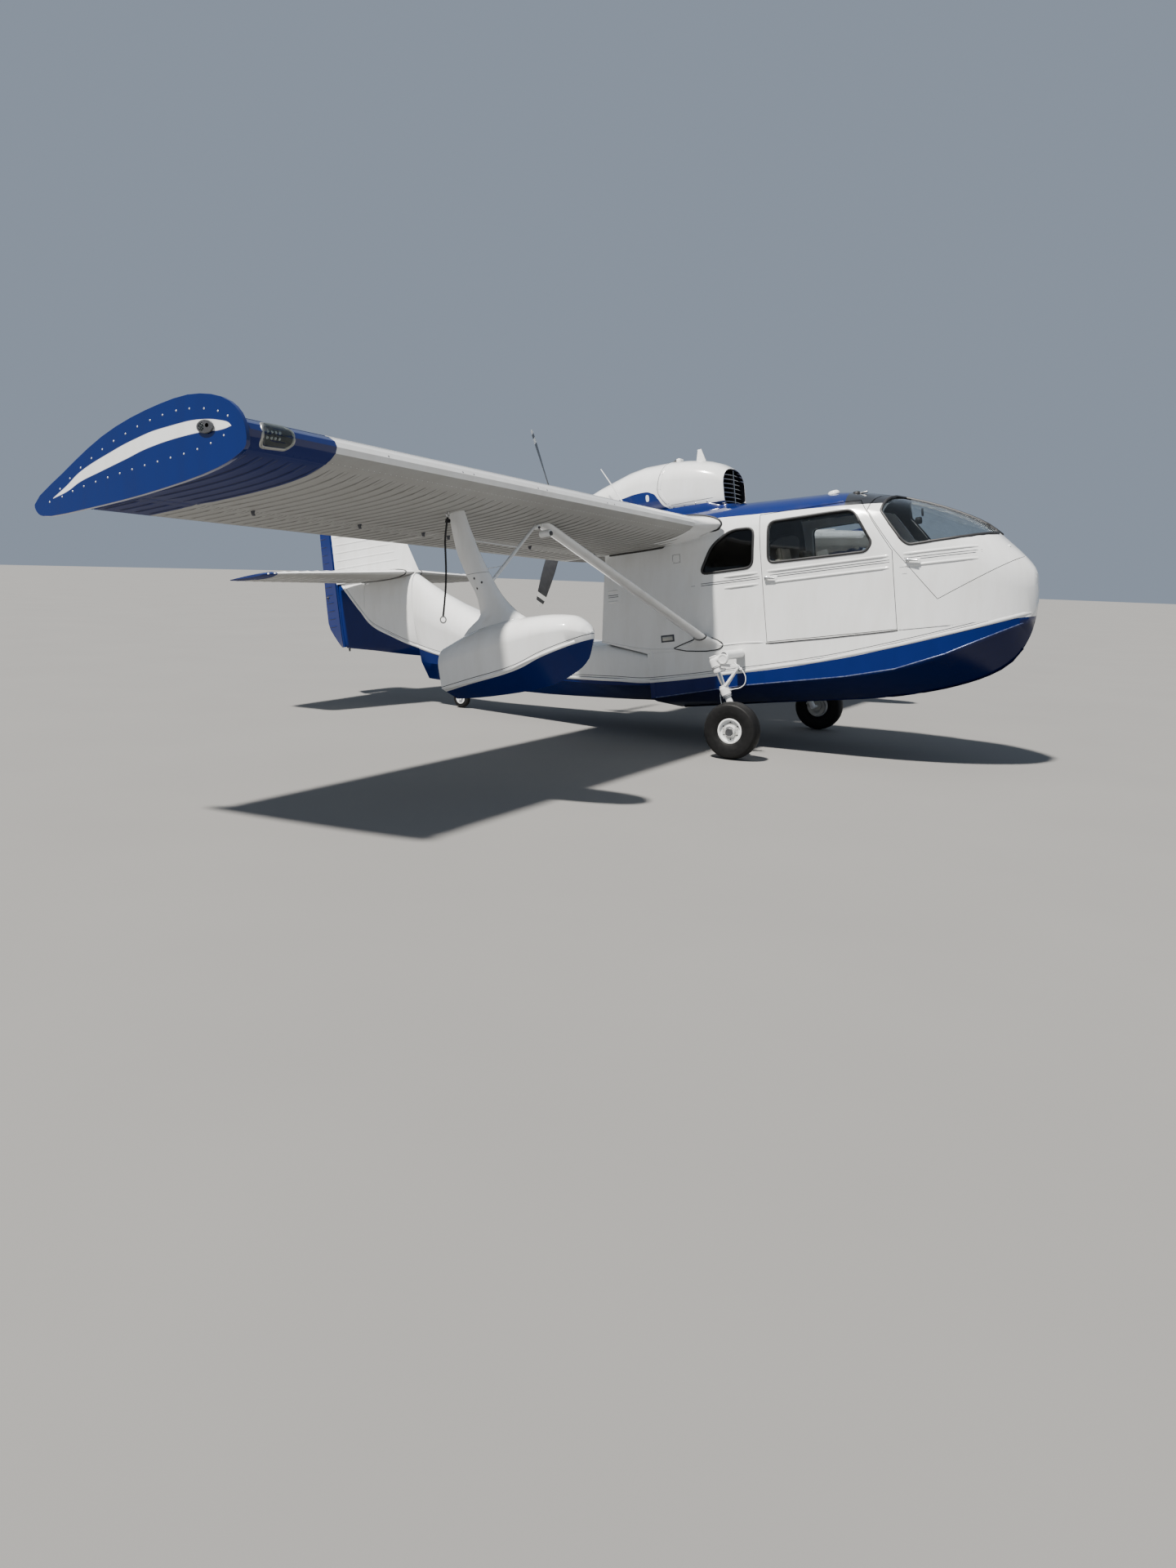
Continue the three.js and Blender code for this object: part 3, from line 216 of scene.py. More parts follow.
def smooth_route(points, count):
    """Points spaced evenly in parameter on a smooth curve through the given ones."""
    out = []
    last = len(points) - 1
    for k in range(count + 1):
        t = k / count * last
        i = min(int(t), last - 1)
        f = t - i
        p0, p1 = points[max(i - 1, 0)], points[i]
        p2, p3 = points[i + 1], points[min(i + 2, last)]
        out.append(0.5 * ((2 * p1) + (p2 - p0) * f + (2 * p0 - 5 * p1 + 4 * p2 - p3) * f * f
                          + (3 * p1 - p0 - 3 * p2 + p3) * f ** 3))
    return out


def tube(name, points, radius, sides=8, closed=False, radii=None):
    """A round bar bent through the points, made a mesh."""
    data = bpy.data.curves.new(name, "CURVE")
    data.dimensions = "3D"
    data.bevel_depth = radius
    data.bevel_resolution = max((sides - 4) // 2, 0)
    data.use_fill_caps = not closed
    spline = data.splines.new("POLY")
    spline.points.add(len(points) - 1)
    spline.use_cyclic_u = closed
    for i, point in enumerate(points):
        spline.points[i].co = (*point, 1)
        spline.points[i].radius = radii[i] if radii else 1
    select_only(new_object(name, data))
    bpy.ops.object.convert(target="MESH")
    shade_smooth(50)
    return bpy.context.object


def join(name, pieces):
    select_only(pieces[0])
    for piece in pieces[1:]:
        piece.select_set(True)
    if len(pieces) > 1:
        bpy.ops.object.join()
    whole = bpy.context.object
    whole.name = name
    whole.data.name = name
    return whole


def finish(piece, material, slot, body="airframe", *replaced):
    piece.data.materials.clear()
    piece.data.materials.append(material)
    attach(piece, body)
    if replaced:
        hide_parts(*replaced)
    return piece


rope_points = [level_point(x / 1000, y / 1000, z / 1000) for x, y, z in ROPE_ROUTE]
rope_line = smooth_route(rope_points, ROPE_STEPS)
strands = []
for strand in range(3):
    run = 0.0
    winding = []
    for i, point in enumerate(rope_line):
        run += (point - rope_line[max(i - 1, 0)]).length
        turn = 2 * math.pi * (run / ROPE_LAY + strand / 3)
        offset = ROPE_RADIUS - STRAND_RADIUS + 0.0006
        winding.append(point + Vector((math.cos(turn), math.sin(turn), 0)) * offset)
    strands.append(tube(f"strand_{strand}", winding, STRAND_RADIUS, 8))
rope = join("hanging_rope", strands)

rope_black = mottled("rope_fibre", (0.012, 0.012, 0.013), (0.006, 0.006, 0.007), (0.035, 0.035, 0.038),
                     0.85, (900, 2), bump=((900, 2), 0.0006, 0.8))
finish(rope, rope_black, "rope_black", "airframe", "tie_down_rope")

KNOT_SIZE = 0.0068
knot_centre = rope_points[0] + Vector((0, 0, -0.022))
knot_path = []
for k in range(60):
    t = 2 * math.pi * k / 60
    knot_path.append(knot_centre + KNOT_SIZE * Vector((
        0.8 * (math.sin(t) + 2 * math.sin(2 * t)), 0.8 * (math.cos(t) - 2 * math.cos(2 * t)),
        -1.3 * math.sin(3 * t))))
knot = finish(tube("rope_knot", knot_path, 0.0058, 8, closed=True), rope_black, "rope_black")

eye_low, eye_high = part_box("rope_eye")
eye_centre = (eye_low + eye_high) / 2
bpy.ops.object.select_all(action="DESELECT")
bpy.ops.mesh.primitive_torus_add(major_segments=40, minor_segments=12, major_radius=0.02,
                                 minor_radius=0.0048, location=(0, 0, 0),
                                 rotation=(math.radians(90), 0, math.radians(30)))
eye = bpy.context.object
eye.name = "pale_rope_eye"
bpy.ops.object.transform_apply(location=True, rotation=True, scale=True)
eye.data.transform(Matrix.Diagonal((1, 1, 1.12, 1)))
eye.data.transform(Matrix.Translation(eye_centre))
shade_smooth(60)
rope_pale = mottled("pale_nylon", (0.72, 0.71, 0.66), (0.62, 0.6, 0.54), (0.8, 0.79, 0.75), 0.45, (140, 3))
finish(eye, rope_pale, "rope_pale", "airframe", "rope_eye")

# Hull: a riveted aluminium boat in three lengths, gloss white above a blue planing bottom. A white
# rub moulding and two fine dark lines follow the colour's edge from the bow to the tail.
WHITE = (0.82, 0.83, 0.83)
BLUE = (0.0028, 0.013, 0.105)
LINE_DARK = (0.05, 0.055, 0.07)
COLOUR_EDGE = ((-5.75, 2.42), (-5.62, 2.268), (-5.33, 1.915), (-5.12, 1.684), (-4.82, 1.532),
               (-4.50, 1.389), (-4.15, 1.268), (-3.7, 1.15), (-3.27, 1.04), (-2.28, 0.87),
               (-1.97, 0.835), (-1.48, 0.783), (-1.02, 0.738), (-0.2, 0.756), (0.727, 0.802),
               (1.416, 0.878), (2.04, 0.97), (2.417, 1.035), (2.6, 1.075))
FINE_LINES = (0.034, 0.053)
FINE_LINE_HALF = 0.0032


def new_group(name, inputs, outputs):
    group = bpy.data.node_groups.new(name, "ShaderNodeTree")
    for socket, kind, value in inputs:
        made = group.interface.new_socket(name=socket, in_out="INPUT", socket_type=kind)
        made.default_value = value
    for socket, kind in outputs:
        group.interface.new_socket(name=socket, in_out="OUTPUT", socket_type=kind)
    return group, group.nodes.new("NodeGroupInput"), group.nodes.new("NodeGroupOutput")


def use_group(tree, group, **values):
    node = tree.nodes.new("ShaderNodeGroup")
    node.node_tree = group
    for name, value in values.items():
        plug(tree, node.inputs[name.replace("_", " ")], value)
    return node.outputs


level_group, _, group_out = new_group("level place", (), (
    ("Place", "NodeSocketVector"), ("X", "NodeSocketFloat"), ("Y", "NodeSocketFloat"),
    ("Z", "NodeSocketFloat")))
turn_level = level_group.nodes.new("ShaderNodeMapping")
turn_level.inputs["Rotation"].default_value = (0, PARKED_PITCH, 0)
turn_level.inputs["Location"].default_value = (
    -WHEEL_LINE_SHIFT * math.cos(PARKED_PITCH), 0, WHEEL_LINE_SHIFT * math.sin(PARKED_PITCH))
level_group.links.new(object_place(level_group), turn_level.inputs["Vector"])
split = level_group.nodes.new("ShaderNodeSeparateXYZ")
level_group.links.new(turn_level.outputs[0], split.inputs[0])
level_group.links.new(turn_level.outputs[0], group_out.inputs["Place"])
for axis in "XYZ":
    level_group.links.new(split.outputs[axis], group_out.inputs[axis])

# Sprayed gloss paint: a trace of orange peel, sheet that isn't quite flat, and dust in streaks.
film_group, group_in, group_out = new_group("paint film", (
    ("Dust", "NodeSocketFloat", 0.12), ("Gloss", "NodeSocketFloat", 0.2)), (
    ("Shade", "NodeSocketFloat"), ("Roughness", "NodeSocketFloat"), ("Height", "NodeSocketFloat")))
place = object_place(film_group)
stretched = film_group.nodes.new("ShaderNodeMapping")
stretched.inputs["Scale"].default_value = (5.0, 5.0, 1.1)
film_group.links.new(place, stretched.inputs["Vector"])
streaks = between(film_group, noise(film_group, stretched.outputs[0], 1.6, 6, 0.62), 0.42, 0.75)
specks = between(film_group, noise(film_group, place, 34, 4, 0.7), 0.55, 0.8)
soil = calc(film_group, "MAXIMUM", streaks, times(film_group, specks, 0.5))
film_group.links.new(times(film_group, soil, group_in.outputs["Dust"]), group_out.inputs["Shade"])
film_group.links.new(calc(film_group, "ADD", group_in.outputs["Gloss"], times(film_group, soil, 0.1)),
                     group_out.inputs["Roughness"])
peel = times(film_group, noise(film_group, place, 330, 2), 0.012)
film_group.links.new(calc(film_group, "ADD", noise(film_group, place, 2.1, 2), peel),
                     group_out.inputs["Height"])

DUST_TINT = (0.72, 0.69, 0.63)


def tint(tree, share, colour, by):
    node = tree.nodes.new("ShaderNodeMix")
    node.data_type = "RGBA"
    node.blend_type = "MULTIPLY"
    plug(tree, node.inputs[0], share)
    plug(tree, node.inputs[6], colour if isinstance(colour, bpy.types.NodeSocket) else (*colour, 1))
    node.inputs[7].default_value = (*by, 1)
    return node.outputs[2]


def paint_over(tree, shader, colour, dust=0.3, gloss=0.16):
    film = use_group(tree, film_group, Dust=dust, Gloss=gloss)
    plug(tree, shader.inputs["Base Color"], tint(tree, film["Shade"], colour, DUST_TINT))
    plug(tree, shader.inputs["Roughness"], film["Roughness"])
    add_bump(tree, shader, film["Height"], 0.0022)


def line_height(tree, along, points):
    """The height of a smooth line at a place along X."""
    (x0, x1), heights = (points[0][0], points[-1][0]), [z for _, z in points]
    z0, z1 = min(heights), max(heights)
    node = tree.nodes.new("ShaderNodeFloatCurve")
    marks = node.mapping.curves[0].points
    marks[0].location = (0, (heights[0] - z0) / (z1 - z0))
    marks[1].location = (1, (heights[-1] - z0) / (z1 - z0))
    for x, z in points[1:-1]:
        marks.new((x - x0) / (x1 - x0), (z - z0) / (z1 - z0))
    for mark in marks:
        mark.handle_type = "AUTO_CLAMPED"
    node.mapping.update()
    plug(tree, node.inputs["Value"], between(tree, along, x0, x1))
    return between(tree, node.outputs[0], 0, 1, z0, z1)


def above(tree, value, edge, soft=0.0008):
    """1 where value is over edge, else 0."""
    return between(tree, minus(tree, value, edge), -soft, soft)


def near(tree, value, centre, half):
    distance = calc(tree, "ABSOLUTE", minus(tree, value, centre))
    return between(tree, distance, half * 1.15, half * 0.85)


hull_paint, tree, shader = new_material("hull_paint", WHITE, 0.2, coat=0.6)
level = use_group(tree, level_group)
over_edge = minus(tree, level["Z"], line_height(tree, level["X"], COLOUR_EDGE))
CHINE = ((-1.05, 0.574), (-0.03, 0.634), (0.95, 0.645), (1.40, 0.677), (1.83, 0.772), (2.23, 0.905),
         (2.49, 0.992))
# Below the chine the blue is painted darker: painted shade on the bottom.
SHADED_BOTTOM_BLUE = (0.0014, 0.006, 0.05)
bottom = blend_colour(tree, above(tree, level["Z"], line_height(tree, level["X"], CHINE), 0.02),
                      SHADED_BOTTOM_BLUE, BLUE)
colour = blend_colour(tree, above(tree, over_edge, 0.0), bottom, WHITE)
for offset in FINE_LINES:
    colour = blend_colour(tree, near(tree, over_edge, offset, FINE_LINE_HALF), colour, LINE_DARK)
paint_over(tree, shader, colour)
plug(tree, shader.inputs["Coat Weight"], between(tree, above(tree, over_edge, 0.0), 0, 1, 0.0, 0.6))
shader.inputs["Specular IOR Level"].default_value = 0.14


def level_shape(*nodes):
    """The frame pieces' surface, laid level, for finding places on it."""
    shape = bmesh.new()
    for node in nodes:
        shape.from_mesh(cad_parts[node].data)
    shape.transform(make_level)
    found = BVHTree.FromBMesh(shape)
    shape.free()
    return found


def drop_on(shape, points, towards):
    """Where each point lands on the shape, and the normal there; points that miss are left out."""
    landed = []
    heading = Vector(towards).normalized()
    for point in points:
        place, normal, _, _ = shape.ray_cast(Vector(point) - heading * 1.2, heading, 2.4)
        if place is not None:
            landed.append((place, normal if normal.dot(heading) < 0 else -normal))
    return landed


STRIP_SECTION = ((-0.5, -0.45), (-0.42, 0.55), (-0.2, 0.95), (0.2, 0.95), (0.42, 0.55), (0.5, -0.45))


def bridge(mesh, rows, closed=True, caps=(0, -1)):
    """Faces between each row of corners and the next, and over the rows named in caps."""
    for first, second in zip(rows, rows[1:]):
        for k in range(len(first) - (not closed)):
            m = (k + 1) % len(first)
            mesh.faces.new((first[k], first[m], second[m], second[k]))
    for end in caps:
        mesh.faces.new(rows[end])


def made(name, mesh, smooth=None):
    """An object of the built mesh, its faces turned outward, its curves shaded smooth."""
    bmesh.ops.recalc_face_normals(mesh, faces=mesh.faces)
    data = bpy.data.meshes.new(name)
    mesh.to_mesh(data)
    mesh.free()
    piece = new_object(name, data)
    select_only(piece)
    if smooth:
        shade_smooth(smooth)
    return piece


def lay_strips(name, runs, width, height, material, slot, body="airframe", closed=False):
    """Half-round strips pressed on a skin, one along each run of (place, normal), as one mesh."""
    mesh = bmesh.new()
    for run in runs:
        if len(run) < 3:
            continue
        rings = []
        for i, (place, normal) in enumerate(run):
            before = run[i - 1][0] if i or closed else place
            after = run[(i + 1) % len(run)][0] if i < len(run) - 1 or closed else place
            across = (after - before).cross(normal).normalized()
            rise = height * (0.1 if not closed and i in (0, len(run) - 1) else 1.0)
            rings.append([mesh.verts.new(tip_back @ (place + across * (a * width) + normal * (n * rise)))
                          for a, n in STRIP_SECTION])
        if closed:
            bridge(mesh, rings + rings[:1], caps=())
        else:
            bridge(mesh, rings)
    return finish(made(name, mesh, 48), material, slot, body)


def apply_modifier(piece, kind, **settings):
    modifier = piece.modifiers.new(kind.lower(), kind)
    for name, value in settings.items():
        setattr(modifier, name, value)
    bpy.ops.object.modifier_apply(modifier=modifier.name)


def edit_all():
    bpy.ops.object.mode_set(mode="EDIT")
    bpy.ops.mesh.select_all(action="SELECT")


def skin(node, slot, material, body="airframe", edge=0.0025, sharp=32):
    """A finished skin in the place of a frame piece: its edges eased, its curves shaded smooth."""
    piece = new_object(node + "_skin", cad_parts[node].data.copy())
    select_only(piece)
    bpy.ops.mesh.customdata_custom_splitnormals_clear()
    edit_all()
    bpy.ops.mesh.remove_doubles(threshold=0.00015)
    bpy.ops.mesh.dissolve_limited(angle_limit=math.radians(0.3))
    bpy.ops.object.mode_set(mode="OBJECT")
    if edge:
        apply_modifier(piece, "BEVEL", width=edge, segments=2, limit_method="ANGLE",
                       angle_limit=math.radians(sharp))
    shade_smooth(sharp)
    apply_modifier(piece, "WEIGHTED_NORMAL", keep_sharp=True)
    return finish(piece, material, slot, body, node)


for node in ("hull_forebody", "hull_afterbody", "tail_cone"):
    skin(node, "white_paint", hull_paint)


def edge_height(x):
    for (x0, z0), (x1, z1) in zip(COLOUR_EDGE, COLOUR_EDGE[1:]):
        if x0 <= x <= x1:
            return z0 + (z1 - z0) * (x - x0) / (x1 - x0)
    return COLOUR_EDGE[-1][1]


def along(points, step):
    """Places every step or so along a chain of (x, z) points."""
    spots = [points[0]]
    for (x0, z0), (x1, z1) in zip(points, points[1:]):
        parts = max(round(math.hypot(x1 - x0, z1 - z0) / step), 1)
        spots += [(x0 + (x1 - x0) * k / parts, z0 + (z1 - z0) * k / parts) for k in range(1, parts + 1)]
    return spots


def both_faces(shape, points, middle=0.0, out=0.9):
    """The (x, z) points dropped on both faces of a shape: a run of (place, normal) for each."""
    return [drop_on(shape, [(x, middle + face * out, z) for x, z in points], (0, -face, 0))
            for face in (-1, 1)]


def side_lines(shape, points, step=0.05):
    return both_faces(shape, along(points, step))


# Hull trim: the white rub moulding along the colour's edge, sheet edges along the shelf under the
# cabin, black rubber under the doors, butt straps, and a strip on the chine's corner whose light,
# mottled blue is a painted highlight.
gloss_white, tree, shader = new_material("gloss_white", WHITE, 0.2, coat=0.6)
paint_over(tree, shader, WHITE)
black_rubber = mottled("black_rubber", (0.012, 0.012, 0.013), (0.008, 0.008, 0.009), (0.03, 0.03, 0.032),
                       0.5, (420, 3), bump=((420, 3), 0.0004, 0.6))
dark_line = mottled("dark_moulding", LINE_DARK, (0.035, 0.038, 0.05), (0.08, 0.085, 0.1), 0.4, (60, 3))
# The chine strip's lighter, mottled blue is a painted highlight.
chine_highlight, tree, shader = new_material("chine_highlight_blue", (0.16, 0.19, 0.3), 0.3, metallic=0.5)
patchy_tone = noise(tree, object_place(tree), 30, 5, 0.7)
plug(tree, shader.inputs["Base Color"], blend_colour(
    tree, between(tree, patchy_tone, 0.4, 0.65), (0.05, 0.07, 0.2), (0.17, 0.2, 0.3)))

hull_shape = level_shape("hull_forebody", "hull_afterbody", "tail_cone", "cabin_shell")
RUB_LIFT = 0.017
rub_line = [(x, z + RUB_LIFT) for x, z in COLOUR_EDGE[1:-2]] + [(2.5, edge_height(2.5) + RUB_LIFT)]
lay_strips("rub_moulding", side_lines(hull_shape, rub_line), 0.03, 0.007, gloss_white, "white_paint")
SHELF_LINE = ((-1.6, 1.203), (-1.518, 1.186), (-1.202, 1.108), (-1.002, 1.068), (-0.758, 1.055),
              (-0.23, 1.046), (-0.009, 1.05), (0.19, 1.036))
lay_strips("shelf_sheet_edge", side_lines(hull_shape, SHELF_LINE), 0.016, 0.005, gloss_white, "white_paint")
SILL_RUBBER = ((0.214, 1.021), (0.8, 1.017), (1.455, 1.024))
SILL_LINE = ((1.46, 1.026), (1.91, 1.024))
lay_strips("sill_rubber", side_lines(hull_shape, SILL_RUBBER), 0.011, 0.006, black_rubber, "tyre_black")
lay_strips("sill_line", side_lines(hull_shape, SILL_LINE), 0.006, 0.002, dark_line, "panel_black")
chine_line = [(x, z + 0.008) for x, z in CHINE[:-1]] + [(2.47, 0.992)]
lay_strips("chine_edge", side_lines(hull_shape, chine_line), 0.011, 0.004, chine_highlight, "blue_paint")
BUTT_STRAPS = (((-1.0, 0.60), (-1.0, 1.05)), ((-3.0, 1.12), (-2.98, 1.42)))
lay_strips("butt_straps", [run for strap in BUTT_STRAPS for run in side_lines(hull_shape, strap, 0.02)],
           0.03, 0.0018, hull_paint, "white_paint")
KEEL = [(x / 20, 0, -0.2) for x in range(-26, 50, 2)]
lay_strips("keel_band", [drop_on(hull_shape, KEEL, (0, 0, 1))], 0.036, 0.006, hull_paint, "blue_paint")


def studs(name, landed, radius, height, sides=8, sink=0.0005):
    """Round-headed fasteners, one on each (place, normal), as one mesh."""
    mesh = bmesh.new()
    for place, normal in landed:
        turn = normal.to_track_quat("Z", "Y").to_matrix()
        rings = []
        for share, lift in ((1.0, -sink), (0.92, height * 0.5), (0.55, height * 0.95)):
            rings.append([mesh.verts.new(tip_back @ (place + turn @ Vector((
                radius * share * math.cos(2 * math.pi * k / sides),
                radius * share * math.sin(2 * math.pi * k / sides), lift))))
                for k in range(sides)])
        bridge(mesh, rings)
    return made(name, mesh, 60)


RIVET_LINES = (((-1.012, 0.61), (-1.012, 1.04)), ((-0.988, 0.61), (-0.988, 1.04)),
               ((2.08, 1.358), (2.23, 1.073)), ((-0.95, 1.042), (-0.05, 1.03)))
rivets = [spot for line in RIVET_LINES for run in side_lines(hull_shape, line, 0.032) for spot in run]
finish(studs("hull_rivets", rivets, 0.0034, 0.0011, 6), hull_paint, "white_paint")

# A blank data plate aft of the strut's foot: a thin frame round a bare aluminium plate.
bare_plate = mottled("bare_aluminium", (0.42, 0.42, 0.4), (0.3, 0.3, 0.28), (0.5, 0.5, 0.47), 0.38,
                     (260, 3), metallic=0.8)
SIDES = ((-1, "R"), (1, "L"))


def turned(profile, sides, centre, axis):
    """A turned piece: (radius, height) rings drawn out one from the other along an axis."""
    radius, height = profile[0]
    bpy.ops.object.select_all(action="DESELECT")
    bpy.ops.mesh.primitive_circle_add(vertices=sides, radius=radius, location=(0, 0, height),
                                      enter_editmode=True)
    bpy.ops.mesh.select_all(action="SELECT")
    bpy.ops.mesh.edge_face_add()
    bpy.ops.mesh.select_all(action="SELECT")
    for next_radius, next_height in profile[1:]:
        bpy.ops.mesh.extrude_region_move(TRANSFORM_OT_translate={"value": (0, 0, next_height - height)})
        ratio = next_radius / radius
        bpy.ops.transform.resize(value=(ratio, ratio, 1), center_override=(0, 0, next_height))
        radius, height = next_radius, next_height
    bpy.ops.mesh.select_all(action="SELECT")
    bpy.ops.mesh.normals_make_consistent(inside=False)
    bpy.ops.object.mode_set(mode="OBJECT")
    piece = bpy.context.object
    piece.data.transform(Vector(axis).to_track_quat("Z", "Y").to_matrix().to_4x4())
    piece.data.transform(Matrix.Translation(centre))
    shade_smooth(40)
    return piece


def boxed(size, centre, ease):
    """A block with eased edges, still level."""
    bpy.ops.object.select_all(action="DESELECT")
    bpy.ops.mesh.primitive_cube_add(size=1)
    piece = bpy.context.object
    piece.scale = size
    piece.location = centre
    bpy.ops.object.transform_apply(location=True, rotation=True, scale=True)
    edit_all()
    bpy.ops.mesh.bevel(offset=ease, segments=3, profile=0.5)
    bpy.ops.object.mode_set(mode="OBJECT")
    shade_smooth(40)
    return piece


def squeeze(piece, chosen, ratio, centre, shift=(0, 0, 0)):
    """Draws the chosen corners of a block together about a centre, and slides them."""
    select_only(piece)
    bpy.ops.object.mode_set(mode="EDIT")
    bpy.ops.mesh.select_all(action="DESELECT")
    bpy.ops.object.mode_set(mode="OBJECT")
    for vert in piece.data.vertices:
        vert.select = chosen(vert.co)
    bpy.ops.object.mode_set(mode="EDIT")
    bpy.ops.transform.resize(value=ratio, center_override=centre)
    bpy.ops.transform.translate(value=shift)
    bpy.ops.object.mode_set(mode="OBJECT")
    return piece


def park(piece):
    piece.data.transform(tip_back)
    return piece


def fit(name, parts, material, slot, body="airframe", *replaced):
    """Joins parts made level, tips them back with the boat and finishes them as one piece."""
    return finish(park(join(name, parts)), material, slot, body, *replaced)


PLATE = {"x": -0.807, "z": 1.162, "wide": 0.145, "tall": 0.07}
for side, hand in SIDES:
    (seat, out), = drop_on(hull_shape, [(PLATE["x"], side * 0.9, PLATE["z"])], (0, -side, 0))
    frame_piece = boxed((PLATE["wide"], 0.005, PLATE["tall"]), seat + out * 0.0015, 0.0015)
    sheet = boxed((PLATE["wide"] - 0.034, 0.004, PLATE["tall"] - 0.03), seat + out * 0.0035, 0.001)
    fit("plate_frame_" + hand, [frame_piece], dark_line, "panel_black")
    fit("blank_plate_" + hand, [sheet], bare_plate, "bright_steel")

# Cabin: a riveted shell with a blue roof between the wings and a black seal strip up to the
# windscreen. Its windows are tinted acrylic set in black rubber.
ROOF_EDGE = ((-1.75, 2.33), (-0.23, 2.26), (0.195, 2.236), (0.78, 2.206), (1.25, 2.177),
             (1.52, 2.158), (1.9, 2.14))
BLACK_STRIP_FROM = 1.03
BLACK_STRIP_TO = 1.5

cabin_paint, tree, shader = new_material("cabin_paint", WHITE, 0.2, coat=0.6)
level = use_group(tree, level_group)
on_roof = above(tree, level["Z"], line_height(tree, level["X"], ROOF_EDGE))
strip = times(tree, above(tree, level["X"], BLACK_STRIP_FROM),
             minus(tree, 1.0, above(tree, level["X"], BLACK_STRIP_TO)))
ahead = above(tree, level["X"], BLACK_STRIP_TO)
roof_colour = blend_colour(tree, strip, BLUE, (0.02, 0.021, 0.024))
roof_colour = blend_colour(tree, ahead, roof_colour, WHITE)
paint_over(tree, shader, blend_colour(tree, on_roof, WHITE, roof_colour))

skin("cabin_shell", "white_paint", cabin_paint)
skin("cabin_roof", "blue_paint", cabin_paint)
for body in ("door_R", "door_L"):
    skin("cabin_" + body, "white_paint", cabin_paint, body)
skin("bow_door", "white_paint", cabin_paint, "bow_door")


def acrylic(name, colour):
    material, tree, shader = new_material(name, colour, 0.02)
    shader.inputs["Transmission Weight"].default_value = 1.0
    shader.inputs["IOR"].default_value = 1.4
    film = use_group(tree, film_group, Dust=0.3, Gloss=0.02)
    plug(tree, shader.inputs["Base Color"], tint(tree, film["Shade"], colour, DUST_TINT))
    plug(tree, shader.inputs["Roughness"], times(tree, film["Roughness"], 0.5))
    return material


window_glass = acrylic("tinted_acrylic", (0.78, 0.82, 0.83))
smoked_glass = acrylic("smoked_acrylic", (0.1, 0.105, 0.115))
PANES = {"quarter_glass_R": "airframe", "quarter_glass_L": "airframe", "windscreen_glass": "airframe",
         "door_glass_R": "door_R", "door_glass_L": "door_L", "bow_door_glass": "bow_door"}
for node, body in PANES.items():
    skin(node, "window", smoked_glass if "quarter" in node else window_glass, body, edge=0)


def level_mesh(node, close=0.00015):
    shape = bmesh.new()
    shape.from_mesh(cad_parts[node].data)
    shape.transform(make_level)
    bmesh.ops.remove_doubles(shape, verts=shape.verts, dist=close)
    return shape


def face_loop(node, outward, bend=40):
    """The edge all round a frame piece's outer face: (place, outward, away from its middle)."""
    shape = level_mesh(node)
    start = max(shape.faces, key=lambda f: f.normal.dot(outward(f.calc_center_median()))
                * f.calc_area() ** 0.5)
    inside, waiting = {start}, [start]
    while waiting:
        face = waiting.pop()
        for edge in face.edges:
            for other in edge.link_faces:
                if other not in inside and face.normal.angle(other.normal) < math.radians(bend):
                    inside.add(other)
                    waiting.append(other)
    follow = {}
    for face in inside:
        for loop in face.loops:
            if any(f not in inside for f in loop.edge.link_faces):
                follow[loop.vert] = (loop.link_loop_next.vert, face.normal.copy())
    at = next(iter(follow))
    chain = []
    while at in follow and len(chain) < len(follow):
        following, normal = follow[at]
        if not chain or (at.co - chain[-1][0]).length > 0.004:
            chain.append((at.co.copy(), normal))
        at = following
    middle = sum((place for place, _ in chain), Vector()) / len(chain)
    shape.free()
    return [(place, normal, (place - middle).normalized()) for place, normal in chain]


SEAL = {"width": 0.026, "height": 0.01, "lift": 0.0125}
for node, body in PANES.items():
    flank = -1 if node.endswith("_R") or node == "bow_door_glass" else 1
    if "glass_" in node:
        outward = (lambda at, flank=flank: Vector((0, flank, 0)))
    else:
        outward = (lambda at, flank=flank: Vector((0.45, at.y, at.z - 1.55)).normalized())
    rim = face_loop(node, outward)
    run = [(place + normal * SEAL["lift"] + away * 0.002, normal) for place, normal, away in rim]
    lay_strips(node.replace("glass", "seal"), [run], SEAL["width"], SEAL["height"], black_rubber,
               "tyre_black", body, closed=True)

# Side mouldings: two raised white beads with a pair of fine dark beads between them, broken at the
# doors. Each bead is pressed in the sheet.
UPPER_BEAD, LOWER_BEAD, DARK_BEADS = 1.69, 1.585, (1.652, 1.633)
BEAD_SECTIONS = (("airframe", (-0.16, 0.19), (-0.40, 0.205)), ("door", (0.285, 1.415), (0.31, 1.42)),
                 ("bow", (1.54, 2.14), (1.545, 2.17)), ("airframe", (-1.44, -1.32), (-1.44, -1.32)))
side_shape = level_shape("cabin_shell", "cabin_door_R", "cabin_door_L", "bow_door")


def side_run(x0, x1, z, side, step=0.06):
    count = max(int((x1 - x0) / step), 4)
    return drop_on(side_shape, [(x0 + (x1 - x0) * k / count, side * 0.9, z) for k in range(count + 1)],
                   (0, -side, 0))


for place_number, (carrier, white_span, dark_span) in enumerate(BEAD_SECTIONS):
    for side, hand in SIDES:
        body = {"airframe": "airframe", "door": "door_" + hand, "bow": "bow_door"}[carrier]
        if carrier == "bow" and hand == "L":
            body = "airframe"
        name = f"{carrier}_beads_{place_number}_{hand}"
        white_runs = [side_run(*white_span, z, side) for z in (UPPER_BEAD, LOWER_BEAD)]
        lay_strips(name, white_runs, 0.024, 0.009, gloss_white, "white_paint", body)
        dark_runs = [side_run(*dark_span, z, side) for z in DARK_BEADS]
        lay_strips(name + "_dark", dark_runs, 0.0065, 0.0024, dark_line, "panel_black", body)

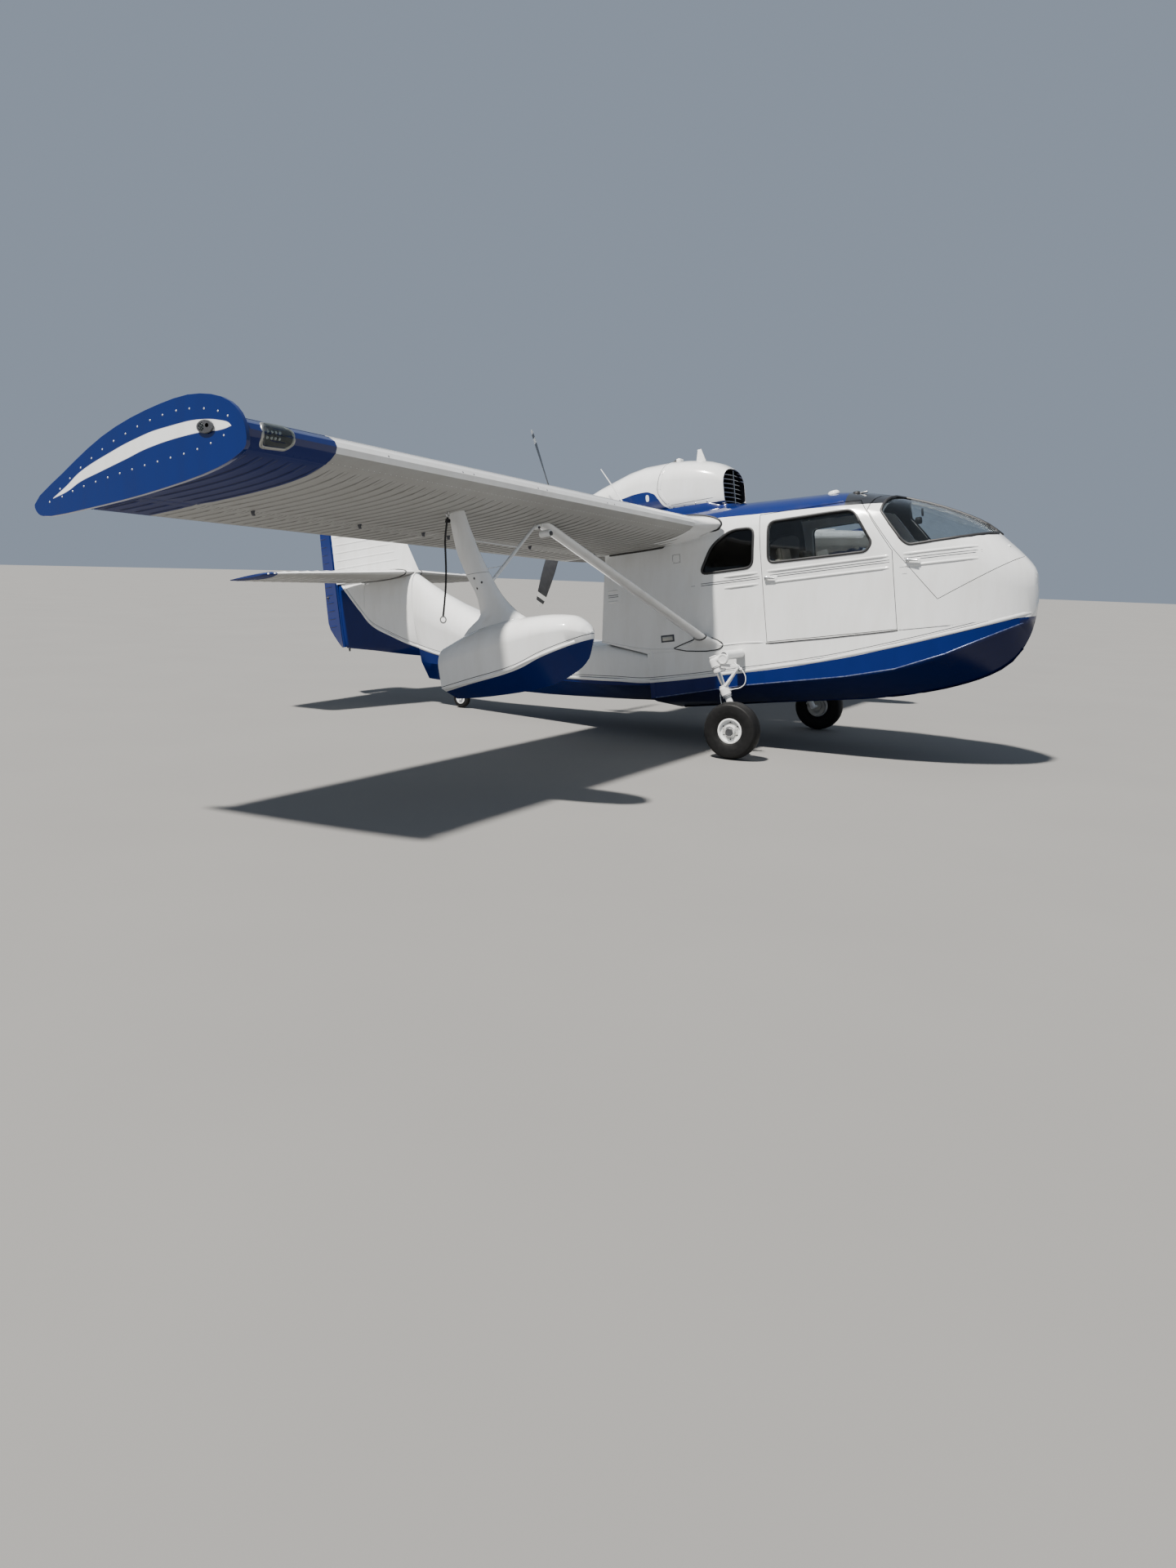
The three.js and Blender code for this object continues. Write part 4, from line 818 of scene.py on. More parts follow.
# Door handles: a bright lever on a round boss, one on each side door and one on the bow door.
bright_metal = mottled("bright_metal", (0.62, 0.63, 0.64), (0.42, 0.43, 0.44), (0.74, 0.75, 0.76), 0.22,
                       (90, 5, 0.7), 1.0, (0.12, 0.4), (0.3, 0.75))
HANDLES = (("door_handle", "door_R", (0.27, -1, 1.628)), ("door_handle", "door_L", (0.27, 1, 1.628)),
           ("bow_handle", "bow_door", (1.575, -1, 1.628)))
for label, body, (x, side, z) in HANDLES:
    (seat, out), = drop_on(side_shape, [(x, side * 0.9, z)], (0, -side, 0))
    boss = turned(((0.019, 0), (0.019, 0.006), (0.014, 0.009), (0.013, 0.022), (0.009, 0.025)), 24, seat,
                  out)
    lever = squeeze(boxed((0.105, 0.014, 0.021), (0.041, 0, 0), 0.006), lambda at: at.x > 0.07,
                    (1, 0.75, 0.62), (0.09, 0, 0))
    lever.data.transform(Matrix.Translation(seat + out * 0.024)
                         @ Matrix.Rotation(math.radians(7), 4, "Y"))
    pad = boxed((0.12, 0.008, 0.05), (0, 0, 0), 0.0035)
    pad.data.transform(Matrix.Translation(seat + Vector((0.05, 0, -0.012)) + out * 0.002))
    fit(f"{label}_{body}", [boss, lever], bright_metal, "bright_steel", body)
    fit(f"{label}_{body}_pad", [pad], gloss_white, "white_paint", body)

# Wing roots: where each wing meets the cabin its leading edge swells into a short fairing, and a
# black rubber lies all round the joint.
WING_ROOT_Y = 0.694


def cut_loop(node, place, normal):
    """The closed line where a plane cuts a frame piece, laid level, in order."""
    shape = level_mesh(node, 0.0001)
    cut = bmesh.ops.bisect_plane(shape, geom=shape.verts[:] + shape.edges[:] + shape.faces[:],
                                 plane_co=place, plane_no=normal)["geom_cut"]
    edges = {e for e in cut if isinstance(e, bmesh.types.BMEdge)}
    best = []
    while edges:
        edge = edges.pop()
        chain = list(edge.verts)
        following = edge
        while following:
            following = next((e for e in chain[-1].link_edges if e in edges), None)
            if following:
                edges.discard(following)
                chain.append(following.other_vert(chain[-1]))
        best = max(best, chain, key=len)
    loop = [vert.co.copy() for vert in best]
    shape.free()
    if (loop[0] - loop[-1]).length < 0.0005:
        loop.pop()
    return loop


def even_loop(loop, count):
    """The same closed line with its places evenly spaced."""
    lengths = [0.0]
    for here, following in zip(loop, loop[1:] + loop[:1]):
        lengths.append(lengths[-1] + (following - here).length)
    spots = []
    i = 0
    for k in range(count):
        run = lengths[-1] * k / count
        while lengths[i + 1] < run:
            i += 1
        share = (run - lengths[i]) / max(lengths[i + 1] - lengths[i], 1e-9)
        spots.append(loop[i].lerp(loop[(i + 1) % len(loop)], share))
    return spots


def loft(name, rings, smooth=None, closed=True, caps=(0, -1), put=tip_back):
    """A sheet drawn through rings of level places."""
    mesh = bmesh.new()
    bridge(mesh, [[mesh.verts.new(put @ place) for place in ring] for ring in rings], closed, caps)
    return made(name, mesh, smooth)


CUFF = {"from": 1.04, "chord": 0.46, "swell": 0.115, "rise": 0.012, "spans": 9, "steps": 26}
for side, hand in SIDES:
    wing_shape = level_shape("wing_" + hand)
    rings = []
    for j in range(CUFF["spans"] + 1):
        share = j / CUFF["spans"]
        y = side * (CUFF["from"] + (WING_ROOT_Y + 0.003 - CUFF["from"]) * share)
        nose, _, _, _ = wing_shape.ray_cast(Vector((1, y, 2.19)), Vector((-1, 0, 0)), 3)
        ring = []
        for k in range(CUFF["steps"] + 1):
            turn = math.pi * (2 * k / CUFF["steps"] - 1)
            back = CUFF["chord"] * (1 - math.cos(turn / 2)) ** 1.4
            x = nose.x - 0.0015 - back
            upward = 1 if turn > 0 else -1
            hit, normal, _, _ = wing_shape.ray_cast(Vector((x, y, 2.19 + upward * 0.6)),
                                                    Vector((0, 0, -upward)), 0.9)
            if hit is None:
                hit, normal = nose.copy(), Vector((1, 0, 0))
            fade = (1 - back / CUFF["chord"]) ** 2
            swell = CUFF["swell"] * share ** 2 * fade
            lift = 0.0015 + CUFF["rise"] * share ** 2 * math.sin(math.pi * back / CUFF["chord"])
            ring.append(hit + Vector((swell, 0, upward * lift)) + (
                Vector((0.002, 0, 0)) if back < 0.01 else Vector()))
        rings.append(ring)
    cuff = loft("wing_root_fairing_" + hand, rings, closed=False, caps=())
    if max(cuff.data.polygons, key=lambda f: f.center.x).normal.x < 0:
        cuff.data.flip_normals()
    apply_modifier(cuff, "SOLIDIFY", thickness=0.002, offset=-1)
    shade_smooth(50)
    finish(cuff, gloss_white, "white_paint")
    front = [Vector((p.x, side * 0.7, p.z)) for p in rings[-1]]
    middle = sum(front, Vector()) / len(front)
    outline = cut_loop("wing_" + hand, (0, side * 0.705, 0), (0, 1, 0))
    behind = [Vector((p.x, side * 0.7, p.z)) for p in even_loop(outline, 120)
              if -1.40 < p.x < front[0].x - 0.012]
    chord_z = middle.z - 0.02
    upper = sorted((p for p in behind if p.z > chord_z - 0.05 * (middle.x - p.x)), key=lambda p: p.x)
    lower = sorted((p for p in behind if p.z <= chord_z - 0.05 * (middle.x - p.x)), key=lambda p: -p.x)
    chain = upper + front[::-1] + lower if front[0].z < middle.z else upper + front + lower
    run = []
    for i, place in enumerate(chain):
        run_along = chain[min(i + 1, len(chain) - 1)] - chain[max(i - 1, 0)]
        away = Vector((run_along.z, 0, -run_along.x)).normalized()
        if away.dot(place - middle) < 0:
            away = -away
        spot = place + away * 0.007
        wall = drop_on(side_shape, [(spot.x, side * 1.2, spot.z)], (0, -side, 0))
        spot.y = side * max(0.7, abs(wall[0][0].y) if wall else 0.7)
        run.append((spot, Vector((0, side, 0))))
    lay_strips("wing_root_rubber_" + hand, [run], 0.017, 0.009, black_rubber, "tyre_black")

# Roof fittings: a white vent dome, a dark hatch lock beside a bright latch, and a small white dome
# on the bow.
roof_shape = level_shape("cabin_roof", "cabin_shell", "bow_door", "windscreen_glass")
DOMES = ((0.868, -0.35, 0.052, 0.03, gloss_white, "white_paint"),
         (1.08, -0.34, 0.034, 0.02, black_rubber, "panel_black"),
         (1.74, -0.1, 0.02, 0.016, gloss_white, "white_paint"),
         (2.35, -0.16, 0.012, 0.01, gloss_white, "white_paint"))
for number, (x, y, radius, height, material, slot) in enumerate(DOMES):
    profile = ((1.15, -0.004), (1.15, 0.003), (1, 0.004), (0.97, height * 0.45), (0.8, height * 0.78),
               (0.45, height * 0.97), (0.1, height))
    for spot in drop_on(roof_shape, [(x, y, 2.6)], (0, 0, -1)):
        dome = turned([(radius * across, lift) for across, lift in profile], 28, *spot)
        fit(f"roof_dome_{number}", [dome], material, slot)
(seat, out), = drop_on(roof_shape, [(1.13, -0.34, 2.6)], (0, 0, -1))
fit("roof_latch", [boxed((0.11, 0.03, 0.014), (1.13, -0.34, seat.z + 0.008), 0.005)], bright_metal,
    "bright_steel")

# The compass hangs inside at the windscreen's head; the bow has a cleat knob; the cabin's side has a
# small square access plate with a screw in each corner, two slots and two small drain marks.
compass = turned(((0.02, -0.03), (0.031, -0.026), (0.033, 0.0), (0.031, 0.022), (0.024, 0.026)), 28,
                 (1.60, -0.1, 2.035), (-1, 0, 0))
bracket = boxed((0.02, 0.014, 0.07), (1.61, -0.1, 2.075), 0.004)
fit("windscreen_compass", [compass, bracket], black_rubber, "panel_black")
seat, out = drop_on(roof_shape, [(2.17 + 0.02 * k, -0.1, 2.6) for k in range(9)], (0, 0, -1))[0]
knob = turned(((0.012, -0.003), (0.012, 0.006), (0.008, 0.012), (0.011, 0.02), (0.006, 0.026)), 20, seat,
              out)
fit("bow_knob", [knob], bright_metal, "bright_steel", "bow_door")
PLATE_CORNERS = ((-0.68, 1.885), (-0.60, 1.885), (-0.60, 1.965), (-0.68, 1.965))
SIDE_SLOTS = ((-0.505, 1.64), (1.50, 1.576), (1.52, 1.516))
plate_line = along(PLATE_CORNERS + PLATE_CORNERS[:1], 0.016)
slot_lines = [[(x + k * 0.006, z) for k in range(8)] for x, z in SIDE_SLOTS]
screw_spots = [(-0.67, 1.895), (-0.61, 1.895), (-0.61, 1.955), (-0.67, 1.955)]
flanks = [both_faces(side_shape, line, 0, 1.0) for line in (plate_line, *slot_lines, screw_spots)]
for number, (side, hand) in enumerate(SIDES):
    outline, *slots, screws = [runs[number] for runs in flanks]
    lay_strips("side_slots_" + hand, [outline[:-1], *slots], 0.0035, 0.0012, dark_line, "panel_black")
    finish(studs("side_plate_screws_" + hand, screws, 0.004, 0.0018), bare_plate, "bright_steel")

# Cabin lining: grey padded cloth on the inside of the shell and roof.
lining = mottled("cabin_lining", (0.1, 0.098, 0.092), (0.075, 0.074, 0.07), (0.13, 0.127, 0.12), 0.9,
                 (9, 4), rough=(0.8, 0.95), bump=((900, 2), 0.0006, 0.5))
CABIN_MIDDLE_Z = 1.45
for name in ("cabin_shell_skin", "cabin_roof_skin"):
    shell = bpy.data.objects[name]
    shell.data.materials.append(lining)
    for face in shell.data.polygons:
        middle = make_level @ face.center
        from_axis = Vector((0, middle.y, middle.z - CABIN_MIDDLE_Z))
        facing = make_level.to_3x3() @ face.normal
        if facing.dot(from_axis) < 0 and abs(facing.x) < 0.9 and abs(middle.y) < 0.66:
            face.material_index = 1

# Seats: crowned foam cushions in pale ribbed cloth with piped seams, two single seats in front on
# dark pedestals and a bench behind. The covers are simulated cloth over a slightly smaller form.
seat_cloth, tree, shader = new_material("seat_cloth", (0.42, 0.385, 0.33), 0.85)
place = object_place(tree)
parts = tree.nodes.new("ShaderNodeSeparateXYZ")
tree.links.new(place, parts.inputs[0])
THREAD = 0.0028
warp = calc(tree, "SINE", times(tree, parts.outputs["Y"], 2 * math.pi / THREAD))
weft = calc(tree, "SINE", times(tree, calc(
    tree, "ADD", parts.outputs["X"], parts.outputs["Z"]), 2 * math.pi / THREAD))
threads = times(tree, warp, weft)
fading = noise(tree, place, 7, 4, 0.6)
fleck = noise(tree, place, 520, 2)
colour = blend_colour(tree, fading, (0.34, 0.31, 0.265), (0.48, 0.445, 0.385))
colour = tint(tree, between(tree, fleck, 0.45, 0.75, 0, 0.5), colour, (0.55, 0.53, 0.5))
plug(tree, shader.inputs["Base Color"], colour)
plug(tree, shader.inputs["Roughness"], between(tree, fading, 0.3, 0.8, 0.78, 0.95))
add_bump(tree, shader, calc(tree, "ADD", times(tree, threads, 0.5), fleck), 0.0009, 0.8)
shader.inputs["Sheen Weight"].default_value = 0.25
piping_cloth = mottled("seat_piping", (0.16, 0.145, 0.125), (0.11, 0.1, 0.085), (0.22, 0.2, 0.175), 0.8,
                       (700, 3), bump=((700, 3), 0.0006, 0.7))
seat_frame = mottled("seat_frame", (0.045, 0.045, 0.048), (0.03, 0.03, 0.032), (0.1, 0.098, 0.095), 0.5,
                     (60, 5, 0.7), rough=(0.38, 0.62))

SWELL_LIMIT = 0.024
CHANNEL = {"half": 0.011, "depth": 0.011}


def puffed_cushion(name, size, voxel, channels):
    """A stuffed cushion round the origin: a bevelled block, remeshed and blown up as cloth, with
    sewn channels across its width pressed in afterwards."""
    bpy.ops.object.select_all(action="DESELECT")
    bpy.ops.mesh.primitive_cube_add(size=1)
    pad = bpy.context.object
    pad.name = name
    bpy.ops.transform.resize(value=size)
    bpy.ops.object.transform_apply(location=False, rotation=False, scale=True)
    edit_all()
    bpy.ops.mesh.bevel(offset=min(size) * 0.3, segments=3)
    bpy.ops.object.mode_set(mode="OBJECT")
    apply_modifier(pad, "REMESH", mode="VOXEL", voxel_size=voxel)
    before = [v.co.copy() for v in pad.data.vertices]
    cloth = pad.modifiers.new("cloth", "CLOTH")
    cloth.settings.use_pressure = True
    cloth.settings.uniform_pressure_force = 4
    cloth.settings.effector_weights.gravity = 0
    cloth.collision_settings.use_collision = False
    cloth.point_cache.frame_start = 1
    cloth.point_cache.frame_end = 20
    for number in range(1, 21):
        bpy.context.scene.frame_set(number)
    bpy.ops.object.modifier_apply(modifier=cloth.name)
    bpy.context.scene.frame_set(1)
    for v, start in zip(pad.data.vertices, before):
        moved = v.co - start
        if moved.length > SWELL_LIMIT:
            v.co = start + moved.normalized() * SWELL_LIMIT
        if v.co.z > 0:
            for along_pad in channels:
                gap = (v.co.x - along_pad) / CHANNEL["half"]
                v.co.z -= CHANNEL["depth"] * math.exp(-gap * gap)
        else:
            v.co.z = max(v.co.z, -size[2] / 2 - 0.004)
    apply_modifier(pad, "SUBSURF", levels=1, render_levels=1)
    bpy.ops.object.shade_smooth()
    return pad


def piping(pad, size, heights):
    """Piped seams round a cushion at the given shares of its half height."""
    mesh = bmesh.new()
    mesh.from_mesh(pad.data)
    form = BVHTree.FromBMesh(mesh)
    mesh.free()
    cords = []
    for share in heights:
        ring = []
        for k in range(96):
            turn = 2 * math.pi * k / 96
            far = Vector((math.cos(turn) * size[0], math.sin(turn) * size[1], share * size[2] / 2))
            hit, _, _, _ = form.ray_cast(far, Vector((-far.x, -far.y, 0)).normalized())
            if hit is not None:
                ring.append(hit)
        cords.append(tube("cord", ring, 0.0042, 6, closed=True))
    return join("piping", cords)


FRONT_PAD = {"size": (0.46, 0.43, 0.12), "at": (0.632, 0.325, 1.088), "lean": -4.0}
FRONT_BACK = {"size": (0.62, 0.43, 0.085), "at": (0.36, 0.325, 1.515), "lean": 84.5}
HEAD_REST = {"size": (0.13, 0.25, 0.065), "at": (0.33, 0.325, 1.842), "lean": 84.5}
BENCH_PAD = {"size": (0.42, 1.10, 0.11), "at": (-0.60, 0, 1.07), "lean": -3.0}
BENCH_BACK = {"size": (0.62, 1.10, 0.085), "at": (-0.905, 0, 1.46), "lean": 78.0}
SEATS = (("front_seat_pad", FRONT_PAD, (-0.11, 0.0, 0.11), 0.010, (1, -1)),
         ("front_seat_back", FRONT_BACK, (-0.18, -0.06, 0.06, 0.18), 0.010, (1, -1)),
         ("head_rest", HEAD_REST, (), 0.006, (1, -1)),
         ("bench_pad", BENCH_PAD, (-0.1, 0.02, 0.14), 0.014, (1,)),
         ("bench_back", BENCH_BACK, (-0.16, 0.0, 0.16), 0.014, (1,)))
for name, spec, channels, voxel, sides in SEATS:
    pad = puffed_cushion(name + "_form", spec["size"], voxel, channels)
    cord = piping(pad, spec["size"], (0.62, -0.55))
    x, y, z = spec["at"]
    for side in sides:
        hand = "" if len(sides) == 1 else ("_L" if side > 0 else "_R")
        put = tip_back @ Matrix.Translation((x, side * y, z)) \
            @ Matrix.Rotation(math.radians(spec["lean"]), 4, "Y")
        for source, label, material in ((pad, "", seat_cloth), (cord, "_piping", piping_cloth)):
            piece = new_object(name + label + hand, source.data.copy())
            piece.data.transform(put)
            node = "rear_bench" if len(sides) == 1 else "front_seat" + hand
            finish(piece, material, "seat_cloth", "airframe", node)
    for source in (pad, cord):
        bpy.data.objects.remove(source)


def turn_about(piece, place, degrees, axis="Y"):
    place = Matrix.Translation(place)
    piece.data.transform(place @ Matrix.Rotation(math.radians(degrees), 4, axis) @ place.inverted())
    return piece


for side, hand in SIDES:
    y = side * 0.325
    frame_parts = [boxed((0.38, 0.36, 0.26), (0.59, y, 0.865), 0.012),
                   boxed((0.50, 0.45, 0.022), (0.62, y, 1.012), 0.006),
                   turn_about(boxed((0.026, 0.45, 0.62), (0.292, y, 1.46), 0.011), (0.292, y, 1.46), -3),
                   boxed((0.52, 0.022, 0.02), (0.60, y - 0.15, 0.744), 0.004),
                   boxed((0.52, 0.022, 0.02), (0.60, y + 0.15, 0.744), 0.004)]
    fit("front_seat_frame_" + hand, frame_parts, seat_frame, "dark_metal", "airframe", "front_seat_" + hand)
bench_parts = [boxed((0.44, 1.06, 0.25), (-0.65, 0, 0.87), 0.012),
               boxed((0.48, 1.14, 0.022), (-0.63, 0, 1.0), 0.006),
               turn_about(boxed((0.024, 1.14, 0.66), (-0.975, 0, 1.44), 0.01), (-0.975, 0, 1.44), -8)]
fit("rear_bench_frame", bench_parts, seat_frame, "dark_metal", "airframe", "rear_bench")

# Instrument panel: a board in crinkle black with a padded hood, six plain dials in bright rings and
# a row of rocker switches.
panel_paint = mottled("panel_paint", (0.03, 0.03, 0.032), (0.02, 0.02, 0.022), (0.07, 0.07, 0.072), 0.6,
                      (30, 5, 0.7), rough=(0.45, 0.7), bump=((620, 3), 0.0008, 0.7))
skin("instrument_panel", "panel_black", panel_paint, edge=0.0015)
dial_white = mottled("dial_white", (0.8, 0.8, 0.78), (0.66, 0.66, 0.62), (0.85, 0.85, 0.82), 0.5, (300, 2))
PANEL_FACE_X = 1.50
RING = ((0.046, 0.0), (0.046, 0.003), (0.043, 0.0065), (0.039, 0.0065), (0.038, 0.003))
rings, inner, marks = [], [], []
for z in (1.62, 1.50):
    for y in (0.40, 0.29, 0.18):
        at = (PANEL_FACE_X, y, z)
        rings.append(turned(RING, 40, at, (-1, 0, 0)))
        inner.append(turned(((0.0385, 0.0005), (0.0385, 0.0022), (0.002, 0.0024)), 40, at, (-1, 0, 0)))
        for k in range(12):
            tick = boxed((0.0006, 0.0022, 0.008), (PANEL_FACE_X - 0.0028, y, z + 0.031), 0.0002)
            marks.append(turn_about(tick, at, 30 * k, "X"))
        needle = boxed((0.0008, 0.003, 0.03), (PANEL_FACE_X - 0.0036, y, z + 0.012), 0.0003)
        marks.append(turn_about(needle, at, math.degrees(7 * y + 3 * z), "X"))
for k in range(9):
    inner.append(boxed((0.012, 0.014, 0.024), (PANEL_FACE_X - 0.004, -0.13 + 0.032 * k, 1.385), 0.003))
for z in (1.60, 1.52, 1.45):
    inner.append(boxed((0.012, 0.16, 0.06), (PANEL_FACE_X - 0.003, 0.02, z), 0.003))
    for y in (-0.046, 0.086):
        inner.append(turned(((0.009, 0), (0.009, 0.012), (0.007, 0.015)), 18, (PANEL_FACE_X - 0.008, y, z),
                            (-1, 0, 0)))
hood = tube("panel_hood", [level_point(1.515, y, 1.716) for y in (-0.175, -0.06, 0.06, 0.18, 0.32, 0.465)],
            0.014, 14)
fit("dial_rings", rings, bright_metal, "bright_steel")
finish(join("panel_fittings", [park(join("inner_fittings", inner)), hood]), black_rubber, "panel_black")
fit("dial_marks", marks, dial_white, "white_paint")

# Engine pod: a white teardrop cowling, blue along its foot and rising in a blue patch beside the
# exhaust. Air comes in through seven bowed bars; a fin aerial and a whip aerial stand on it.
POD_EDGE = ((-2.3, 2.47), (-2.05, 2.52), (-1.8, 2.575), (-1.5, 2.615), (-1.298, 2.64), (-1.206, 2.653),
            (-1.104, 2.657), (-1.006, 2.637), (-0.938, 2.572), (-0.861, 2.479), (-0.78, 2.45),
            (-0.5, 2.448), (-0.24, 2.455))
OVAL = {"x": -1.053, "z": 2.592, "half_x": 0.018, "half_z": 0.033}
POD_AXIS_Z = 2.66

pod_paint, tree, shader = new_material("pod_paint", WHITE, 0.2, coat=0.6)
level = use_group(tree, level_group)
colour = blend_colour(tree, above(tree, level["Z"], line_height(tree, level["X"], POD_EDGE)), BLUE, WHITE)
across = calc(tree, "DIVIDE", minus(tree, level["X"], OVAL["x"]), OVAL["half_x"])
upward = calc(tree, "DIVIDE", minus(tree, level["Z"], OVAL["z"]), OVAL["half_z"])
from_middle = calc(tree, "ADD", calc(tree, "POWER", calc(tree, "ABSOLUTE", across), 3.0),
                   calc(tree, "POWER", calc(tree, "ABSOLUTE", upward), 3.0))
colour = blend_colour(tree, between(tree, from_middle, 1.1, 0.9), colour, (0.72, 0.74, 0.76))
paint_over(tree, shader, colour)
pod = skin("engine_pod", "white_paint", pod_paint, edge=0.004)

sooty_metal = mottled("sooty_metal", (0.03, 0.031, 0.034), (0.012, 0.012, 0.014), (0.09, 0.09, 0.095), 0.6,
                      (38, 5, 0.65), 0.6, (0.42, 0.8))
pod.data.materials.append(sooty_metal)
for face in pod.data.polygons:
    middle = make_level @ face.center
    from_axis = Vector((0, middle.y, middle.z - POD_AXIS_Z))
    inward = (make_level.to_3x3() @ face.normal).dot(from_axis) < 0
    if inward and middle.x < POD_EDGE[-1][0] - 0.03 and abs(face.normal.x) < 0.9:
        face.material_index = 1

skin("intake_grille", "dark_metal", sooty_metal, edge=0.001)
GRILLE = {"bars": 7, "first": 2.452, "pitch": 0.044, "face": -0.256, "bulge": 0.028}
POD_MOUTH = {"bottom": 2.404, "top": 2.786, "half": 0.292, "power": 2.3, "low": 7, "skin": 0.031}
bar_edges = []
for bar in range(GRILLE["bars"]):
    z = GRILLE["first"] + bar * GRILLE["pitch"] + 0.0045
    middle = (POD_MOUTH["bottom"] + POD_MOUTH["top"]) / 2
    bend = POD_MOUTH["low"] if z < middle else POD_MOUTH["power"]
    reach = abs(z - middle) / ((POD_MOUTH["top"] - POD_MOUTH["bottom"]) / 2)
    half = POD_MOUTH["half"] * (1 - reach ** bend) ** (1 / bend) - POD_MOUTH["skin"]
    bow = []
    for k in range(17):
        t = k / 16
        x = GRILLE["face"] - GRILLE["bulge"] * (1 - t) ** 2 + 2 * GRILLE["bulge"] * t * (1 - t) \
            - GRILLE["bulge"] * t * t
        bow.append(level_point(x, half * (2 * t - 1), z))
    bar_edges.append(tube(f"bar_edge_{bar}", bow, 0.0034, 8))
post = [level_point(GRILLE["face"] + 0.004, 0, POD_MOUTH["bottom"] + 0.03 + k * 0.055) for k in range(7)]
bar_edges.append(tube("grille_post", post, 0.0045, 8))
finish(join("grille_bar_edges", bar_edges), bright_metal, "bright_steel")

# The engine behind the grille: a flat six, its crankcase and finned barrels in sooty castings.
ENGINE = {"x0": -1.54, "x1": -0.56, "low": 2.496, "high": 2.745, "shaft_z": 2.513}
engine_mid = (ENGINE["low"] + ENGINE["high"]) / 2
engine_parts = [boxed((0.95, 0.17, 0.2), ((ENGINE["x0"] + ENGINE["x1"]) / 2, 0, engine_mid), 0.03),
                turned(((0.075, 0), (0.075, 0.1), (0.058, 0.11), (0.058, 0.2)), 28,
                       (ENGINE["x0"] + 0.02, 0, ENGINE["shaft_z"]), (-1, 0, 0))]
barrel = [(0.085, 0.0)]
for fin in range(6):
    height = 0.012 + fin * 0.019
    barrel += [(0.085, height), (0.108, height + 0.001), (0.108, height + 0.008), (0.085, height + 0.009)]
barrel += [(0.085, 0.128), (0.095, 0.13), (0.095, 0.143), (0.06, 0.146)]
for x in (-0.72, -1.01, -1.30):
    for side in (-1, 1):
        engine_parts.append(turned(barrel, 28, (x, side * 0.084, engine_mid), (0, side, 0)))
fit("flat_six_engine", engine_parts, sooty_metal, "dark_metal", "airframe", "engine_block")

# The pod's foot: a blue fairing of sheet that fills between the pod and the roof and ends in a
# small round shelf ahead of the intake.
pod_shape = level_shape("engine_pod")
FOOT = {"from": -1.0, "mouth": -0.285, "nose": -0.135, "steps": 30, "nose_steps": 12}
roof_only = level_shape("cabin_roof")
rows = []
foot_line = [FOOT["from"] + (FOOT["mouth"] - FOOT["from"]) * k / FOOT["steps"] for k in
             range(FOOT["steps"] + 1)]
reach = FOOT["nose"] - FOOT["mouth"]
foot_line += [FOOT["mouth"] + reach * math.sin(math.pi / 2 * k / FOOT["nose_steps"])
              for k in range(1, FOOT["nose_steps"] + 1)]
shelf_z = POD_MOUTH["bottom"] + 0.012
for x in foot_line:
    if x <= FOOT["mouth"]:
        (wall, _), = drop_on(pod_shape, [(x, -1.0, shelf_z + 0.045)], (0, 1, 0))
        half = mouth_half = abs(wall.y) + 0.003
        top_z = shelf_z + 0.04 * min(1, (FOOT["mouth"] - x) / 0.12)
    else:
        half = max(mouth_half * (1 - ((x - FOOT["mouth"]) / reach) ** 3) ** 0.5, 0.002)
        top_z = shelf_z
    low_z = drop_on(roof_only, [(x, half * 0.99, 3.0)], (0, 0, -1))[0][0].z - 0.012
    rows.append([Vector((x, y * half, z)) for y, z in (
        (-1.03, low_z), (-1, top_z - 0.006), (-0.985, top_z), (0, top_z + 0.001), (0.985, top_z),
        (1, top_z - 0.006), (1.03, low_z))])
pod_foot = loft("pod_foot_fairing", rows, 45)
foot_paint, tree, shader = new_material("pod_foot_paint", BLUE, 0.2, coat=0.6)
paint_over(tree, shader, BLUE)
finish(pod_foot, foot_paint, "blue_paint")

# Aerials and the scoop on the pod's crown: a fin aerial, a whip aerial and a small air scoop.
crown_z = drop_on(pod_shape, [(-0.585, 0, 3.2)], (0, 0, -1))[0][0].z
fin_aerial = squeeze(boxed((0.112, 0.026, 0.14), (-0.585, 0, crown_z + 0.052), 0.006),
                     lambda at: at.z > crown_z + 0.06, (0.36, 0.5, 1), (-0.598, 0, crown_z + 0.1))
fit("fin_aerial", [fin_aerial], gloss_white, "white_paint")

WHIP_BASE, WHIP_TIP = (-1.18, -0.45), (-1.51, -0.45, 2.95)
deck_shape = level_shape("cabin_roof", "wing_R", "engine_pod")
(whip_seat, whip_out), = drop_on(deck_shape, [(*WHIP_BASE, 3.2)], (0, 0, -1))
whip_line = [whip_seat.lerp(Vector(WHIP_TIP), k / 10) + Vector((0, 0, 0.02)) * math.sin(math.pi * k / 10)
             for k in range(11)]
finish(tube("whip_aerial", [tip_back @ p for p in whip_line], 0.0062, 8,
            radii=[1.5 - 0.08 * k for k in range(11)]), gloss_white, "white_paint")
whip_foot = turned(((0.02, -0.004), (0.02, 0.004), (0.014, 0.012), (0.008, 0.02)), 20, whip_seat, whip_out)
fit("whip_seat", [whip_foot], gloss_white, "white_paint")

